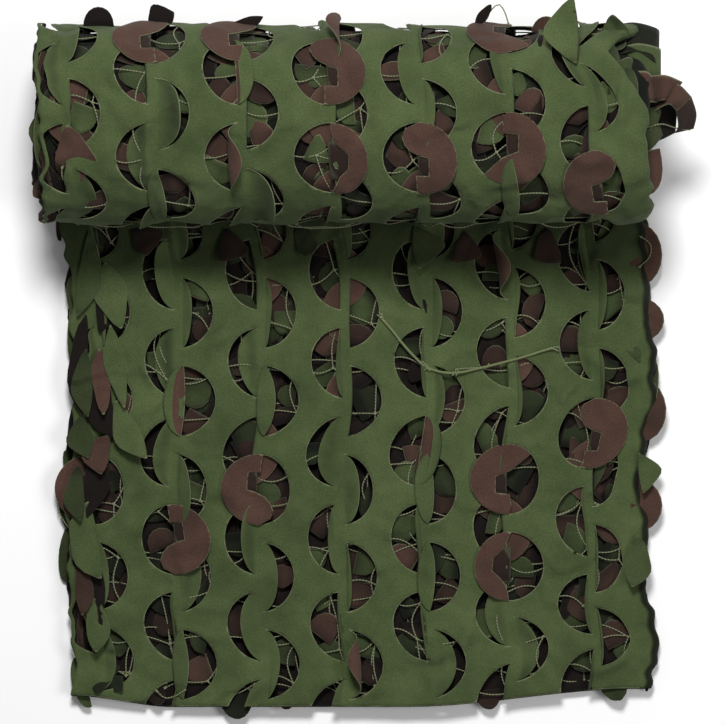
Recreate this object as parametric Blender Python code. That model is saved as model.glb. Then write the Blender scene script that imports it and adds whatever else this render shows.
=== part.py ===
"""Camouflage net, folded in four plies and rolled up from one end.

The whole net is one incised sheet.  It is drawn flat, in u across its width and v along
its length, and then laid: the side folds stack the width into four plies, and the stack
runs flat along +Y, then winds into a flattened roll that stands on it.
A cut is a half-round slit whose leaf stays down, turns over or stands up.
"""
import math

import bmesh
import bpy
from mathutils import Vector
from mathutils.geometry import delaunay_2d_cdt

# ---- the sheet -------------------------------------------------------------------------
CLOTH = 0.0012              # built thickness of the cloth
PLIES = 4                   # bottom ply first
PLY_WIDTH = 0.596           # from side fold to side fold
PLY_STEP = 0.0055           # from one ply to the next
FOLD_LENGTH = math.pi * PLY_STEP / 2
PLY_RUN = PLY_WIDTH + FOLD_LENGTH
SHEET_WIDTH = (PLIES - 1) * PLY_RUN + PLY_WIDTH

# ---- how the stack lies ----------------------------------------------------------------
TAIL_END = -0.352           # Y of the free end
ROLL_Y = 0.222              # Y of the roll's centre
ROLL_RADIUS = 0.086         # half the roll's height
ROLL_FLAT = 0.021           # half the length of its flattened top and bottom
TURN_STEP = 0.0206          # from one turn to the next
TURNS = 2.95
TAIL_LENGTH = ROLL_Y - TAIL_END
BULGE_SHARE = 0.20          # how far the flat part's plies rise and sink, of their height
LUMP_HEIGHT = 0.0022        # middle height of the lumps around the roll
PLAIN_TURNS = 1.8           # turns further in than this have no lumps
TAIL_SCALE = 0.98           # widths of the flat part and the roll, of the ply's
ROLL_SCALE = 1.02
ROLL_SHIFT = -0.011         # the roll sits a little to the left of the flat part
CENTRE_SHIFT = (-0.00465, 0.0026, 0.0)   # brings the middle of the whole net to X = Y = 0

# ---- the cuts --------------------------------------------------------------------------
CUT_RADIUS = 0.035
HINGE_INSET = 0.005         # from the column's centre line to a leaf's hinge
LEAF_DEPTH = CUT_RADIUS - HINGE_INSET
ROW_PITCH = 0.088
COLUMN_PITCH = 0.0845
FIRST_COLUMN = -0.268
EDGE_MARGIN = 0.004         # cloth kept between a cut and a side fold
TAIL_ROW = {"left": 0.432, "right": 0.394}      # v of each side's row 0, counted to the end
ROLL_ROW = {"left": -0.055, "right": -0.011}    # the same from the roll's top line
ROW_LEAN = 0.018            # how far the rows and the free end run up, at the right side
TAIL_ROWS = 10
ROWS_PER_TURN = 20
ARC_STEPS = 6
LEAF_EDGE_STEPS = 3
BEND_RADIUS = 0.0015        # of a leaf that is turned over
FLIP = "flip"               # the leaf is turned over its hinge and lies on the cloth
LIFT = "lift"               # the leaf stands up
LIFT_ANGLE = math.radians(48)

# Each entry is the gap in millimetres between cloth and leaf, or what the leaf does.
# A line is one column, left to right, its rows counted from the roll to the free end.
TAIL_CUTS = {
    "left": (
        (0, 14, 0, 16, 18, 0),
        (9, 26, 10, FLIP, 27, 24),
        (30, 26, 30, 13, 10, 14),
        (30, 22, 9, 17, 29, 18),
        (12, 24, 30, 23, 30, 0),
        (28, 30, 28, 26, 29, 24),
        (20, 15, FLIP, 26, 24, 26),
    ),
    "right": (
        (20, 14, FLIP, 16, 15),
        (18, 30, 13, 30, 30),
        (22, 23, FLIP, 13, 17),
        (30, 30, 10, 23, 30),
        (17, 17, 22, 25, 30),
        (24, 23, FLIP, FLIP, 30),
        (9, 10, 28, 30, 24),
    ),
}
# The same on the roll's outer turn, its rows counted from the back over the top to the front.
ROLL_FIRST_ROW = {"left": -1, "right": -2}
ROLL_CUTS = {
    "left": (
        (14, 12, 30, 14, 20),
        (LIFT, 30, 28, 14, 24),
        (LIFT, 30, 28, 16, 12),
        (20, FLIP, FLIP, 24, 30),
        (20, 13, FLIP, 26, 16),
        (LIFT, 18, FLIP, 20, 28),
        (16, 9, 22, 24, 12),
    ),
    "right": (
        (16, 14, 28, 28, 18),
        (LIFT, FLIP, 28, 27, 30),
        (30, FLIP, 30, 30, 14),
        (12, 12, 30, 30, 22),
        (20, 26, 17, 30, 26),
        (28, FLIP, 30, 28, 12),
        (14, 16, 13, FLIP, 20),
    ),
}
# Leaves that stick out over a side fold: side (+1 is right), v and reach.
TAIL_TABS = ((1, 0.450, 0.012), (1, 0.375, 0.012), (1, 0.295, 0.014), (1, 0.120, 0.010),
             (-1, 0.400, 0.010), (-1, 0.262, 0.012), (-1, 0.110, 0.010))
ROLL_TABS = ((1, -0.078, 0.032), (1, -0.010, 0.041), (1, 0.075, 0.016),
             (-1, -0.060, 0.006), (-1, 0.045, 0.008))
TAB_HALF_WIDTH = 0.024

# ---- the loose cord --------------------------------------------------------------------
CORD_DIAMETER = 0.0025
CORD_STEP = 0.006
# X and Y of the points it passes, before CENTRE_SHIFT.
CORD_ROUTE = (
    (0.0225, 0.038), (0.034, 0.025), (0.046, 0.010), (0.057, -0.002), (0.067, -0.011),
    (0.079, -0.016), (0.092, -0.018), (0.105, -0.017), (0.118, -0.014), (0.131, -0.011),
    (0.143, -0.008), (0.158, -0.004), (0.172, 0.000), (0.184, 0.004), (0.195, 0.007),
)
CORD_CLEARANCE = 0.0007

COLORS = {"net_cloth": (0.073, 0.122, 0.037, 1.0), "tie_cord": (0.21, 0.26, 0.09, 1.0)}
ROUGHNESS = 0.9


def clear_scene():
    for item in list(bpy.data.objects):
        bpy.data.objects.remove(item, do_unlink=True)


def material(name):
    """A plain Principled material in the piece's own colour."""
    made = bpy.data.materials.new(name)
    made.use_nodes = True
    shader = made.node_tree.nodes["Principled BSDF"]
    shader.inputs["Base Color"].default_value = COLORS[name]
    shader.inputs["Roughness"].default_value = ROUGHNESS
    shader.inputs["Metallic"].default_value = 0.0
    return made


def smooth(value, low, high):
    """0 below low, 1 above high, and an even ease between them."""
    share = min(max((value - low) / (high - low), 0.0), 1.0)
    return share * share * (3.0 - 2.0 * share)


# ---- laying the stack ------------------------------------------------------------------
def roll_lump(x, angle):
    """How far the roll's outer turns stand out there; nothing where it rests."""
    rest = 0.5 + 0.5 * math.sin(angle)
    fade = 1.0 - smooth((angle + math.pi / 2) / math.tau, 0.9, PLAIN_TURNS)
    wave = math.sin(17.0 * x + 2.0 * angle + 0.6) + 0.7 * math.sin(31.0 * x - 3.0 * angle)
    return LUMP_HEIGHT * rest * fade * (1.0 + wave / 1.7)


def roll_point(angle, x):
    """Y and Z of the stack's outer face on the roll, at an angle counted from +Y."""
    turn = (angle + math.pi / 2) / math.tau
    radius = ROLL_RADIUS - TURN_STEP * turn + roll_lump(x, angle)
    slide = ROLL_FLAT * math.tanh(2.5 * math.cos(angle)) / math.tanh(2.5)
    return Vector((ROLL_Y + slide + radius * math.cos(angle), ROLL_RADIUS + radius * math.sin(angle)))


def roll_lengths(steps_per_turn=180):
    """Angles along the roll with the length of stack wound up to each."""
    count = int(TURNS * steps_per_turn)
    rows = [(-math.pi / 2, 0.0)]
    before = roll_point(rows[0][0], 0.0)
    for step in range(1, count + 1):
        angle = -math.pi / 2 + math.tau * step / steps_per_turn
        here = roll_point(angle, 0.0)
        rows.append((angle, rows[-1][1] + (here - before).length))
        before = here
    return rows


ROLL_LENGTHS = roll_lengths()
SHEET_LENGTH = TAIL_LENGTH + ROLL_LENGTHS[-1][1]


def roll_angle(length):
    """The angle at which that length of stack is wound up."""
    low, high = 0, len(ROLL_LENGTHS) - 1
    while high - low > 1:
        middle = (low + high) // 2
        if ROLL_LENGTHS[middle][1] > length:
            high = middle
        else:
            low = middle
    (angle_a, length_a), (angle_b, length_b) = ROLL_LENGTHS[low], ROLL_LENGTHS[high]
    return angle_a + (angle_b - angle_a) * (length - length_a) / (length_b - length_a)


def roll_length(angle):
    """The length of stack wound up at an angle of the outer turn."""
    share = (angle + math.pi / 2) / (ROLL_LENGTHS[1][0] - ROLL_LENGTHS[0][0])
    return ROLL_LENGTHS[round(share)][1]


ROLL_TOP = TAIL_LENGTH + roll_length(math.pi / 2)
OUTER_END = TAIL_LENGTH + roll_length(math.radians(262))


def bulge(x, v):
    """Share by which the flat part's plies rise or sink; nothing under the roll."""
    fade = 1.0 - smooth(v, 0.40, 0.47)
    waves = math.sin(13.0 * x + 9.0 * v + 0.4) + 0.8 * math.sin(24.0 * v - 11.0 * x + 1.9)
    return BULGE_SHARE * fade * waves / 1.8


def across(x, v):
    """X of a place on the stack: its edges wander, and the roll is the wider part."""
    share = smooth(v, 0.40, 0.62)
    scale = TAIL_SCALE + (ROLL_SCALE - TAIL_SCALE) * share
    wander = 0.0035 * math.sin(21.0 * v + 0.5) + 0.002 * math.sin(47.0 * v)
    return x * scale + ROLL_SHIFT * share + wander


def tail_height(x, v, height):
    """Z on the flat part: the bottom ply stays flat and the others rise and sink."""
    return CLOTH / 2 + (height - CLOTH / 2) * (1.0 + bulge(x, v))


def end_lean(x, v):
    """How far the stack's free end runs up at its right side and its left corner."""
    lift = ROW_LEAN * smooth(x, 0.05, 0.28) + 0.011 * smooth(-x, 0.19, 0.29)
    return lift * (1.0 - smooth(v, 0.0, 0.14))


def lay(x, v, height):
    """A point of the stack: x across it, v along it, height above its outer face."""
    if v <= TAIL_LENGTH:
        y = TAIL_END + v + end_lean(x, v) + 0.1 * height * (1.0 - smooth(v, 0.0, 0.2))
        return Vector((across(x, v), y, tail_height(x, v, height)))
    angle = roll_angle(min(v, SHEET_LENGTH) - TAIL_LENGTH)
    here = roll_point(angle, x)
    along = roll_point(angle + 0.01, x) - roll_point(angle - 0.01, x)
    inward = Vector((-along.y, along.x)).normalized()
    place = here + inward * height
    return Vector((across(x, v), place.x, place.y))


def ply_height(ply):
    return CLOTH / 2 + ply * PLY_STEP


def sheet_u(ply, x):
    """u of a place on a ply; every second ply runs back."""
    distance = PLY_WIDTH / 2 + (x if ply % 2 == 0 else -x)
    return ply * PLY_RUN + distance


def sheet_point(u, v):
    """Where a point of the flat sheet lies once it is folded and rolled."""
    ply = min(int(u / PLY_RUN), PLIES - 1)
    distance = u - ply * PLY_RUN
    way = 1 if ply % 2 == 0 else -1
    if distance <= PLY_WIDTH:
        return lay(way * (distance - PLY_WIDTH / 2), v, ply_height(ply))
    turn = math.pi * (distance - PLY_WIDTH) / FOLD_LENGTH
    x = way * (PLY_WIDTH / 2 + PLY_STEP / 2 * math.sin(turn))
    return lay(x, v, ply_height(ply) + PLY_STEP / 2 * (1.0 - math.cos(turn)))


# ---- cuts ------------------------------------------------------------------------------
class Cut:
    """One half-round cut: its ply, centre, the side it bulges to and its leaf's state."""

    def __init__(self, ply, side, x, v, state):
        self.ply, self.side, self.x, self.v = ply, side, x, v
        self.state = state
        self.hinge = x + side * HINGE_INSET
        self.outward = 1 if ply == PLIES - 1 else -1

    def to_sheet(self, x, v):
        limit = PLY_WIDTH / 2 - EDGE_MARGIN
        return Vector((sheet_u(self.ply, min(max(x, -limit), limit)), v))

    def arc(self):
        """The cut itself, from one end of the hinge round to the other."""
        reach = math.acos(HINGE_INSET / CUT_RADIUS)
        angles = [reach * (2.0 * step / ARC_STEPS - 1.0) for step in range(ARC_STEPS + 1)]
        return [self.to_sheet(self.x + self.side * CUT_RADIUS * math.cos(a),
                              self.v + CUT_RADIUS * math.sin(a)) for a in angles]

    def has_leaf(self):
        return self.state in (FLIP, LIFT)

    def outline(self):
        """The gap where the leaf stays down, or the leaf where it is turned."""
        corners = self.arc()
        if self.has_leaf():
            return corners
        depth = LEAF_DEPTH - self.state / 1000.0
        half = math.sqrt(CUT_RADIUS ** 2 - HINGE_INSET ** 2)
        if depth < 0.002:
            return corners
        for step in range(1, LEAF_EDGE_STEPS):
            share = 1.0 - 2.0 * step / LEAF_EDGE_STEPS
            edge = self.hinge + self.side * depth * (1.0 - share * share)
            corners.append(self.to_sheet(edge, self.v + share * half))
        return corners

    def bend_lines(self):
        """Lines across a turned leaf along which it bends."""
        if self.state != FLIP:
            return []
        lines = []
        for share in (0.33, 0.67, 1.0):
            x = self.hinge + self.side * share * math.pi * BEND_RADIUS
            half = math.sqrt(CUT_RADIUS ** 2 - (x - self.x) ** 2)
            lines.append((self.to_sheet(x, self.v - half), self.to_sheet(x, self.v + half)))
        return lines

    def leaf_point(self, u, v):
        """Where a point of the turned leaf lies."""
        depth = abs(u - sheet_u(self.ply, self.hinge))
        if self.state == LIFT:
            x = self.hinge + self.side * depth * math.cos(LIFT_ANGLE)
            rise = depth * math.sin(LIFT_ANGLE)
        elif depth < math.pi * BEND_RADIUS:
            x = self.hinge + self.side * BEND_RADIUS * math.sin(depth / BEND_RADIUS)
            rise = BEND_RADIUS * (1.0 - math.cos(depth / BEND_RADIUS))
        else:
            flat = depth - math.pi * BEND_RADIUS
            x = self.hinge - self.side * flat
            rise = 2.0 * BEND_RADIUS + 0.06 * flat
        return lay(x, v, ply_height(self.ply) + self.outward * rise)


class Tab:
    """A leaf cut across a side fold, which sticks straight out of it."""

    def __init__(self, ply, side, v, reach):
        self.ply, self.side, self.v, self.reach = ply, side, v, reach
        self.hinge = side * (PLY_WIDTH / 2 - EDGE_MARGIN / 2)
        way = side if ply % 2 == 0 else -side
        self.way = way
        self.outward = 1 if ply == PLIES - 1 else -1

    def outline(self):
        start = sheet_u(self.ply, self.hinge)
        corners = []
        for step in range(ARC_STEPS + 1):
            turn = math.pi * step / ARC_STEPS
            corners.append(Vector((start + self.way * self.reach * math.sin(turn),
                                   self.v + TAB_HALF_WIDTH * math.cos(turn))))
        return corners

    def has_leaf(self):
        return True

    def bend_lines(self):
        return []

    def leaf_point(self, u, v):
        depth = abs(u - sheet_u(self.ply, self.hinge))
        return lay(self.hinge + self.side * depth, v,
                   ply_height(self.ply) + self.outward * 0.25 * depth)


def columns():
    """Each column's number and centre line."""
    return [(index, FIRST_COLUMN + index * COLUMN_PITCH) for index in range(7)]


def all_cuts():
    cuts = []
    for side, sign in (("left", -1), ("right", 1)):
        for index, x in columns():
            lean = ROW_LEAN * smooth(x, 0.05, 0.24)
            for row, state in enumerate(TAIL_CUTS[side][index]):
                v = TAIL_ROW[side] - row * ROW_PITCH + lean
                cuts.append(Cut(PLIES - 1, sign, x, v, state))
            for row, state in enumerate(ROLL_CUTS[side][index]):
                number = row + ROLL_FIRST_ROW[side]
                v = ROLL_TOP + ROLL_ROW[side] + number * ROW_PITCH - lean
                cuts.append(Cut(0, sign, x, v, state))
    return [cut for cut in cuts if cut.state != 0]


def all_tabs():
    tabs = [Tab(PLIES - 1, side, v, reach) for side, v, reach in TAIL_TABS]
    return tabs + [Tab(0, side, ROLL_TOP + v, reach) for side, v, reach in ROLL_TABS]


# ---- the drawn sheet -------------------------------------------------------------------
def row_lines():
    """v of the rows across the sheet: wide apart where flat, close where it turns."""
    rows = [TAIL_LENGTH * step / TAIL_ROWS for step in range(TAIL_ROWS)]
    for step in range(int(TURNS * ROWS_PER_TURN)):
        turn = step / ROWS_PER_TURN
        if turn < PLAIN_TURNS or step % 2 == 0:
            rows.append(TAIL_LENGTH + roll_length(turn * math.tau - math.pi / 2))
    return rows + [SHEET_LENGTH]


def column_lines(v):
    """u of the lines along the sheet: both sides of each fold, one inside it, and a middle."""
    plain = v > TAIL_LENGTH + roll_length(PLAIN_TURNS * math.tau - math.pi / 2)
    lines = []
    for ply in range(PLIES):
        start = ply * PLY_RUN
        lines += [start, start + PLY_WIDTH] if plain else [start, start + PLY_WIDTH / 2, start + PLY_WIDTH]
        if ply < PLIES - 1:
            lines += [start + PLY_WIDTH + FOLD_LENGTH / 2]
    return lines


def shows(u, v):
    """True on the parts that the cuts cover: the flat part's top ply, the roll's outer one."""
    margin = 0.001
    on_top = u > 3 * PLY_RUN + margin and v < 0.50
    on_roll = u < PLY_WIDTH - margin and TAIL_LENGTH + 0.02 < v < OUTER_END
    return on_top or on_roll


def inside(point, corners):
    """True where the point lies within the outline."""
    odd = False
    for first, second in zip(corners, corners[1:] + corners[:1]):
        if (first.y > point.y) != (second.y > point.y):
            cross = first.x + (second.x - first.x) * (point.y - first.y) / (second.y - first.y)
            if point.x < cross:
                odd = not odd
    return odd


def near_any(point, outlines, distance):
    for corners in outlines:
        if (corners[0] - point).length > 0.12:
            continue
        if inside(point, corners) or min((corner - point).length for corner in corners) < distance:
            return True
    return False


def drawn_sheet(cuts):
    """Points and edges of the sheet as drawn flat, for the triangulation."""
    outlines = [cut.outline() for cut in cuts]
    points, edges = [], []

    def chain(corners, closed=False):
        first = len(points)
        points.extend(corners)
        count = len(corners)
        for step in range(count if closed else count - 1):
            edges.append((first + step, first + (step + 1) % count))

    rows = row_lines()
    for low, high in zip(rows, rows[1:]):
        for u in column_lines(high):
            if u in (0.0, SHEET_WIDTH) or not shows(u, (low + high) / 2):
                chain([Vector((u, low)), Vector((u, high))])
    for v in rows:
        lines = column_lines(v)
        for left, right in zip(lines, lines[1:]):
            if v in (rows[0], rows[-1]) or not shows((left + right) / 2, v):
                chain([Vector((left, v)), Vector((right, v))])
    for u_step in range(1, 8):
        for v in rows:
            for ply in (0, PLIES - 1):
                point = Vector((ply * PLY_RUN + u_step * PLY_WIDTH / 8, v))
                if shows(point.x, point.y) and not near_any(point, outlines, 0.009):
                    points.append(point)
    for cut, corners in zip(cuts, outlines):
        chain(corners, closed=True)
        for line in cut.bend_lines():
            chain(list(line))
    return points, edges, outlines


def net_mesh(cuts):
    """The cut sheet, laid in place: one surface without thickness."""
    points, edges, outlines = drawn_sheet(cuts)
    found = delaunay_2d_cdt(points, edges, [], 0, 1e-6)
    flat_points, faces = found[0], found[2]
    sheet = bmesh.new()
    verts = [sheet.verts.new((point.x, point.y, 0.0)) for point in flat_points]
    owner = sheet.faces.layers.int.new("owner")
    for corners in faces:
        face = sheet.faces.new([verts[corner] for corner in corners])
        centre = face.calc_center_median().xy
        for number, outline in enumerate(outlines):
            if (outline[0] - centre).length < 0.12 and inside(centre, outline):
                face[owner] = number + 1
    bmesh.ops.delete(sheet, geom=[face for face in sheet.faces if is_gap(face, owner, cuts)],
                     context="FACES")
    free_leaves(sheet, owner, cuts)
    places = {}
    for vert in sheet.verts:
        owners = {face[owner] for face in vert.link_faces}
        if len(owners) == 1 and 0 not in owners:
            places[vert] = cuts[owners.pop() - 1].leaf_point(vert.co.x, vert.co.y)
        else:
            places[vert] = sheet_point(vert.co.x, vert.co.y)
    for vert, place in places.items():
        vert.co = place + Vector(CENTRE_SHIFT)
    return sheet


def is_gap(face, owner, cuts):
    """True in a cut whose leaf stays down, and past the sheet's own edges."""
    if face[owner]:
        return not cuts[face[owner] - 1].has_leaf()
    centre = face.calc_center_median()
    return centre.y < 0.0 or not 0.0 < centre.x < SHEET_WIDTH


def free_leaves(sheet, owner, cuts):
    """Parts each turned leaf from the cloth along its arc, and not along its hinge."""
    slit = []
    for edge in sheet.edges:
        numbers = {face[owner] for face in edge.link_faces}
        if len(numbers) < 2:
            continue
        cut = cuts[max(numbers) - 1]
        hinge = sheet_u(cut.ply, cut.hinge)
        if any(abs(vert.co.x - hinge) > 1e-5 for vert in edge.verts):
            slit.append(edge)
    bmesh.ops.split_edges(sheet, edges=slit)


def add_cloth():
    """The net's cloth as one solid."""
    sheet = net_mesh(all_cuts() + all_tabs())
    bmesh.ops.recalc_face_normals(sheet, faces=sheet.faces)
    mesh = bpy.data.meshes.new("net_cloth")
    sheet.to_mesh(mesh)
    sheet.free()
    mesh.materials.append(material("net_cloth"))
    cloth = bpy.data.objects.new("net_cloth", mesh)
    bpy.context.collection.objects.link(cloth)
    thick = cloth.modifiers.new("thickness", "SOLIDIFY")
    thick.thickness = CLOTH
    thick.offset = 0.0
    thick.use_rim = True
    return cloth


# ---- the cord --------------------------------------------------------------------------
def catmull(points, samples):
    """A smooth curve through the points."""
    ends = [2 * points[0] - points[1]] + list(points) + [2 * points[-1] - points[-2]]
    curve = []
    for index in range(len(points) - 1):
        before, here, there, after = ends[index:index + 4]
        for step in range(samples):
            t = step / samples
            curve.append(0.5 * (2 * here + (there - before) * t
                                + (2 * before - 5 * here + 4 * there - after) * t ** 2
                                + (3 * here - before - 3 * there + after) * t ** 3))
    return curve + [points[-1]]


def spaced(curve, step):
    """Points a step apart along the curve."""
    kept = [curve[0]]
    for point in curve:
        if (point - kept[-1]).length >= step:
            kept.append(point)
    return kept


def cord_point(x, y):
    """A point of the cord, lying on the flat part's top ply."""
    top = tail_height(x / TAIL_SCALE, y - TAIL_END, ply_height(PLIES - 1)) + CLOTH / 2
    return Vector((x, y, top + CORD_CLEARANCE + CORD_DIAMETER / 2)) + Vector(CENTRE_SHIFT)


def add_cord():
    """The loose cord, a tube along its route."""
    route = [cord_point(x, y) for x, y in CORD_ROUTE]
    path = spaced(catmull(route, 12), CORD_STEP)
    curve = bpy.data.curves.new("tie_cord", "CURVE")
    curve.dimensions = "3D"
    curve.bevel_depth = CORD_DIAMETER / 2
    curve.bevel_resolution = 2
    curve.use_fill_caps = True
    curve.render_resolution_u = 0
    spline = curve.splines.new("POLY")
    spline.points.add(len(path) - 1)
    for point, place in zip(spline.points, path):
        point.co = (*place, 1.0)
    curve.materials.append(material("tie_cord"))
    cord = bpy.data.objects.new("tie_cord", curve)
    bpy.context.collection.objects.link(cord)
    return cord


def main():
    clear_scene()
    add_cloth()
    add_cord()


main()
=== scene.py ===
"""Camouflage net, folded and rolled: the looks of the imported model.

Every sheet is drawn flat, cut, and laid by the same fold and roll that the solids use,
then given its own finish.  Sizes are in metres unless a name or comment says otherwise.
"""
import math
import random

import bmesh
import bpy
from bpy.props import FloatProperty, FloatVectorProperty, PointerProperty
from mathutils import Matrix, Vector, noise
from mathutils.geometry import delaunay_2d_cdt


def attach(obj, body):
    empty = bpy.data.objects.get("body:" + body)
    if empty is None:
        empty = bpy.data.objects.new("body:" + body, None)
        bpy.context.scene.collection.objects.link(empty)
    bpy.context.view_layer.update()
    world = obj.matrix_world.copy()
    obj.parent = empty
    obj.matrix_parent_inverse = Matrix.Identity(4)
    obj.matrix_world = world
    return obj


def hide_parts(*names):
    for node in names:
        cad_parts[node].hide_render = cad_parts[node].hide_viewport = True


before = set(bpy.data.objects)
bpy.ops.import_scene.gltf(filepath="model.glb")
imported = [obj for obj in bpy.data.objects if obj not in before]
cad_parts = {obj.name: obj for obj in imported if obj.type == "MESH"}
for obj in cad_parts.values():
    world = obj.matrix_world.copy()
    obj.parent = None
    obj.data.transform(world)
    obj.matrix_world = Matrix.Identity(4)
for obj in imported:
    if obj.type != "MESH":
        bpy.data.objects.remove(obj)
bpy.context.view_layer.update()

bl_info = {
    "name": "Folded camouflage net",
    "version": (1, 0, 0),
    "blender": (4, 5, 0),
    "location": "View3D > Sidebar > Camouflage net",
    "description": "Cut, folded and rolled garnish cloth over a knotted string net",
    "category": "Add Mesh",
}

# ---- sizes shared with the solids ------------------------------------------------------
CLOTH = 0.0012              # the solids' cloth
PLIES = 4
PLY_WIDTH = 0.596
PLY_STEP = 0.0055           # from one ply to the next
FOLD_LENGTH = math.pi * PLY_STEP / 2
PLY_RUN = PLY_WIDTH + FOLD_LENGTH
TOP_FOLD = (PLIES - 2) * PLY_RUN + PLY_WIDTH        # u at which the fold to the top ply starts
CORE_STEP_U, CORE_STEP_V = 0.03, 0.007              # mesh steps of the roll's inner turns
TAIL_END = -0.352           # Y of the flat part's free end
ROLL_Y = 0.222              # Y of the roll's axis
ROLL_RADIUS = 0.086
ROLL_FLAT = 0.021           # how far the roll is drawn out along Y
ROLL_SQUARE = 2.5           # how evenly that is shared round the roll
TURN_STEP = 0.0206          # what each turn takes off the radius
TURNS = 2.95
TAIL_LENGTH = ROLL_Y - TAIL_END
ROLL_START = TAIL_LENGTH + 0.01         # v at which the roll's pieces take over
BULGE_SHARE = 0.20          # share by which the flat part's plies rise and sink
# v from which one form gives way to the next, and v where it has: the bulges end, the strip
# grows wider, the plies close up, the roll's side is drawn in, and the free end's lean ends.
BULGE_FADE = (0.40, 0.47)
WIDTH_CHANGE = (0.40, 0.62)
PLIES_CLOSE = (0.46, TAIL_LENGTH)
ROLL_DRAWN_IN = (0.46, 0.60)
LEAN_FADE = (0.0, 0.14)
END_SLOPE, SLOPE_FADE = 0.1, (0.0, 0.2)     # how far each ply's end steps back, by its height
LUMP_HEIGHT = 0.0022
PLAIN_TURNS = 1.8           # the turns further in have no lumps
TAIL_SCALE = 0.98           # widths as shares of a ply's
ROLL_SCALE = 1.02
ROLL_SHIFT = -0.011         # how far the roll stands to the left
CENTRE_SHIFT = Vector((-0.00465, 0.0026, 0.0))
ROW_LEAN = 0.018            # how far the rows of cuts run up at the right side
CORNER_LEAN = 0.011         # how far the free end runs up at its left corner
ROW_RISE, END_RISE, CORNER_RISE = (0.05, 0.24), (0.05, 0.28), (0.19, 0.29)      # at these x
CUT_RADIUS = 0.035
HINGE_INSET = 0.004         # from an arc's centre to the leaf's straight side
TURNED_INSET = -0.002
ROW_PITCH = 0.088
COLUMN_PITCH = 0.0845
FIRST_COLUMN = -0.268
COLUMNS = 7
EDGE_MARGIN = 0.004         # cloth left between a cut and the ply's edge
EDGE_DRAW = 0.013           # how far the edges are drawn in
ROLL_DRAW = 0.012
CORNER_DRAW, CORNER_SIZE = 0.026, 0.034
EDGE_FROM, ROLL_FROM, CORNER_FROM = 0.245, 0.20, 0.17   # x from which that is felt
EDGE_WAVES = ((0.035, 3, 0.5), (0.014, 19, 0.35))       # size, seed and height of its waves
ARC_CURL, ARC_CURL_SIZE = 0.0013, 0.009     # how the cloth outside an arc curls
FLAT_SHADE = (1.0, 0.98, 0.94, 0.0)     # painted shade on each ply, from 0 to 1
ROLL_SHADE = (0.0, 0.93, 0.97, 1.0)
UNDER_ROLL_SHADE = 0.57     # painted shadow of the roll on the top ply beside it
UNDER_ROLL = (0.395, 0.49)  # v from which and to which it grows darker
CLOSED_LIGHT = 0.10         # painted light that a place under closed cloth still keeps
CLEAR_ROOM = (1.0, 14.0)    # millimetres of room in a hole, from painted dark to painted light
BACKING_SHADE = 0.78        # painted shade of the cloth seen through a turned leaf's notch
FLAP_STAIN = 0.12           # how unevenly dark a turned leaf is
LEAF_DARK = 0.34            # how much more painted shade an outer leaf may have than its ply
LEAF_LIGHT, LEAF_LIGHT_SPREAD = 7.0, 4.0    # times the painted light that a hidden leaf gets, against its ply's
FLAT_HEIGHTS = (0.0006, 0.0028, 0.0060, 0.0171)     # each ply's, on the flat part
ROLLED_HEIGHTS = (0.0006, 0.0112, 0.0144, 0.0171)   # and on the roll
TAIL_ROW = {"left": 0.432, "right": 0.482}          # v of the flat part's first row
ROLL_ROW = {"left": -0.055, "right": -0.011}        # v of the roll's row from its top
SIDES = {"left": -1, "right": 1}

MERGE_DISTANCE = 1e-6       # points of a drawing this near are one
JOIN_DISTANCE = 2e-5        # and where leaves meet the cloth
NO_AREA = 1e-12             # square metres of a face that is left out

# Waves: how fast each runs along the first and the second value, its start and its height.
LUMP_WAVES = ((17.0, 2.0, 0.6, 1.0 / 1.7), (31.0, -3.0, 0.0, 0.7 / 1.7))
BULGE_WAVES = ((13.0, 9.0, 0.4, 1.0 / 1.8), (-11.0, 24.0, 1.9, 0.8 / 1.8))
WANDER_WAVES = ((0.0, 21.0, 0.5, 0.0035), (0.0, 47.0, 0.0, 0.002))

# Lumps in one ply of cloth: height and size.
BROAD_WAVE = (0.0036, 0.062)
FINE_WAVE = (0.0018, 0.024)

# ---- the camera's view -----------------------------------------------------------------
VIEW = 724                  # side of the square view, in pixels
PIXEL = 0.001               # one pixel on the floor
VIEW_X, VIEW_Y = 357.5, 355.0       # the pixel over X = Y = 0 before CENTRE_SHIFT
CAMERA_HEIGHT = 5.0
SENSOR = 0.036
FLOOR_REACH = 30.0
FLOOR_DROP = 0.0004         # how far the floor lies under the net
KEY_PLACE, KEY_SIZE = (-0.1, 1.6, 2.5), 0.8
SIDE_PLACE, SIDE_SIZE = (1.9, -0.4, 2.4), 1.4
SIDE_SHARE = 0.34           # the side light's power as a share of the key light's

# ---- the cuts --------------------------------------------------------------------------
FLIP, WIDE, NARROW = "flip", "wide flip", "narrow flip"    # turned over onto the cloth
TUCK, SINK, BEND, CURL = "tuck", "sink", "bend", "curl"
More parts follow.
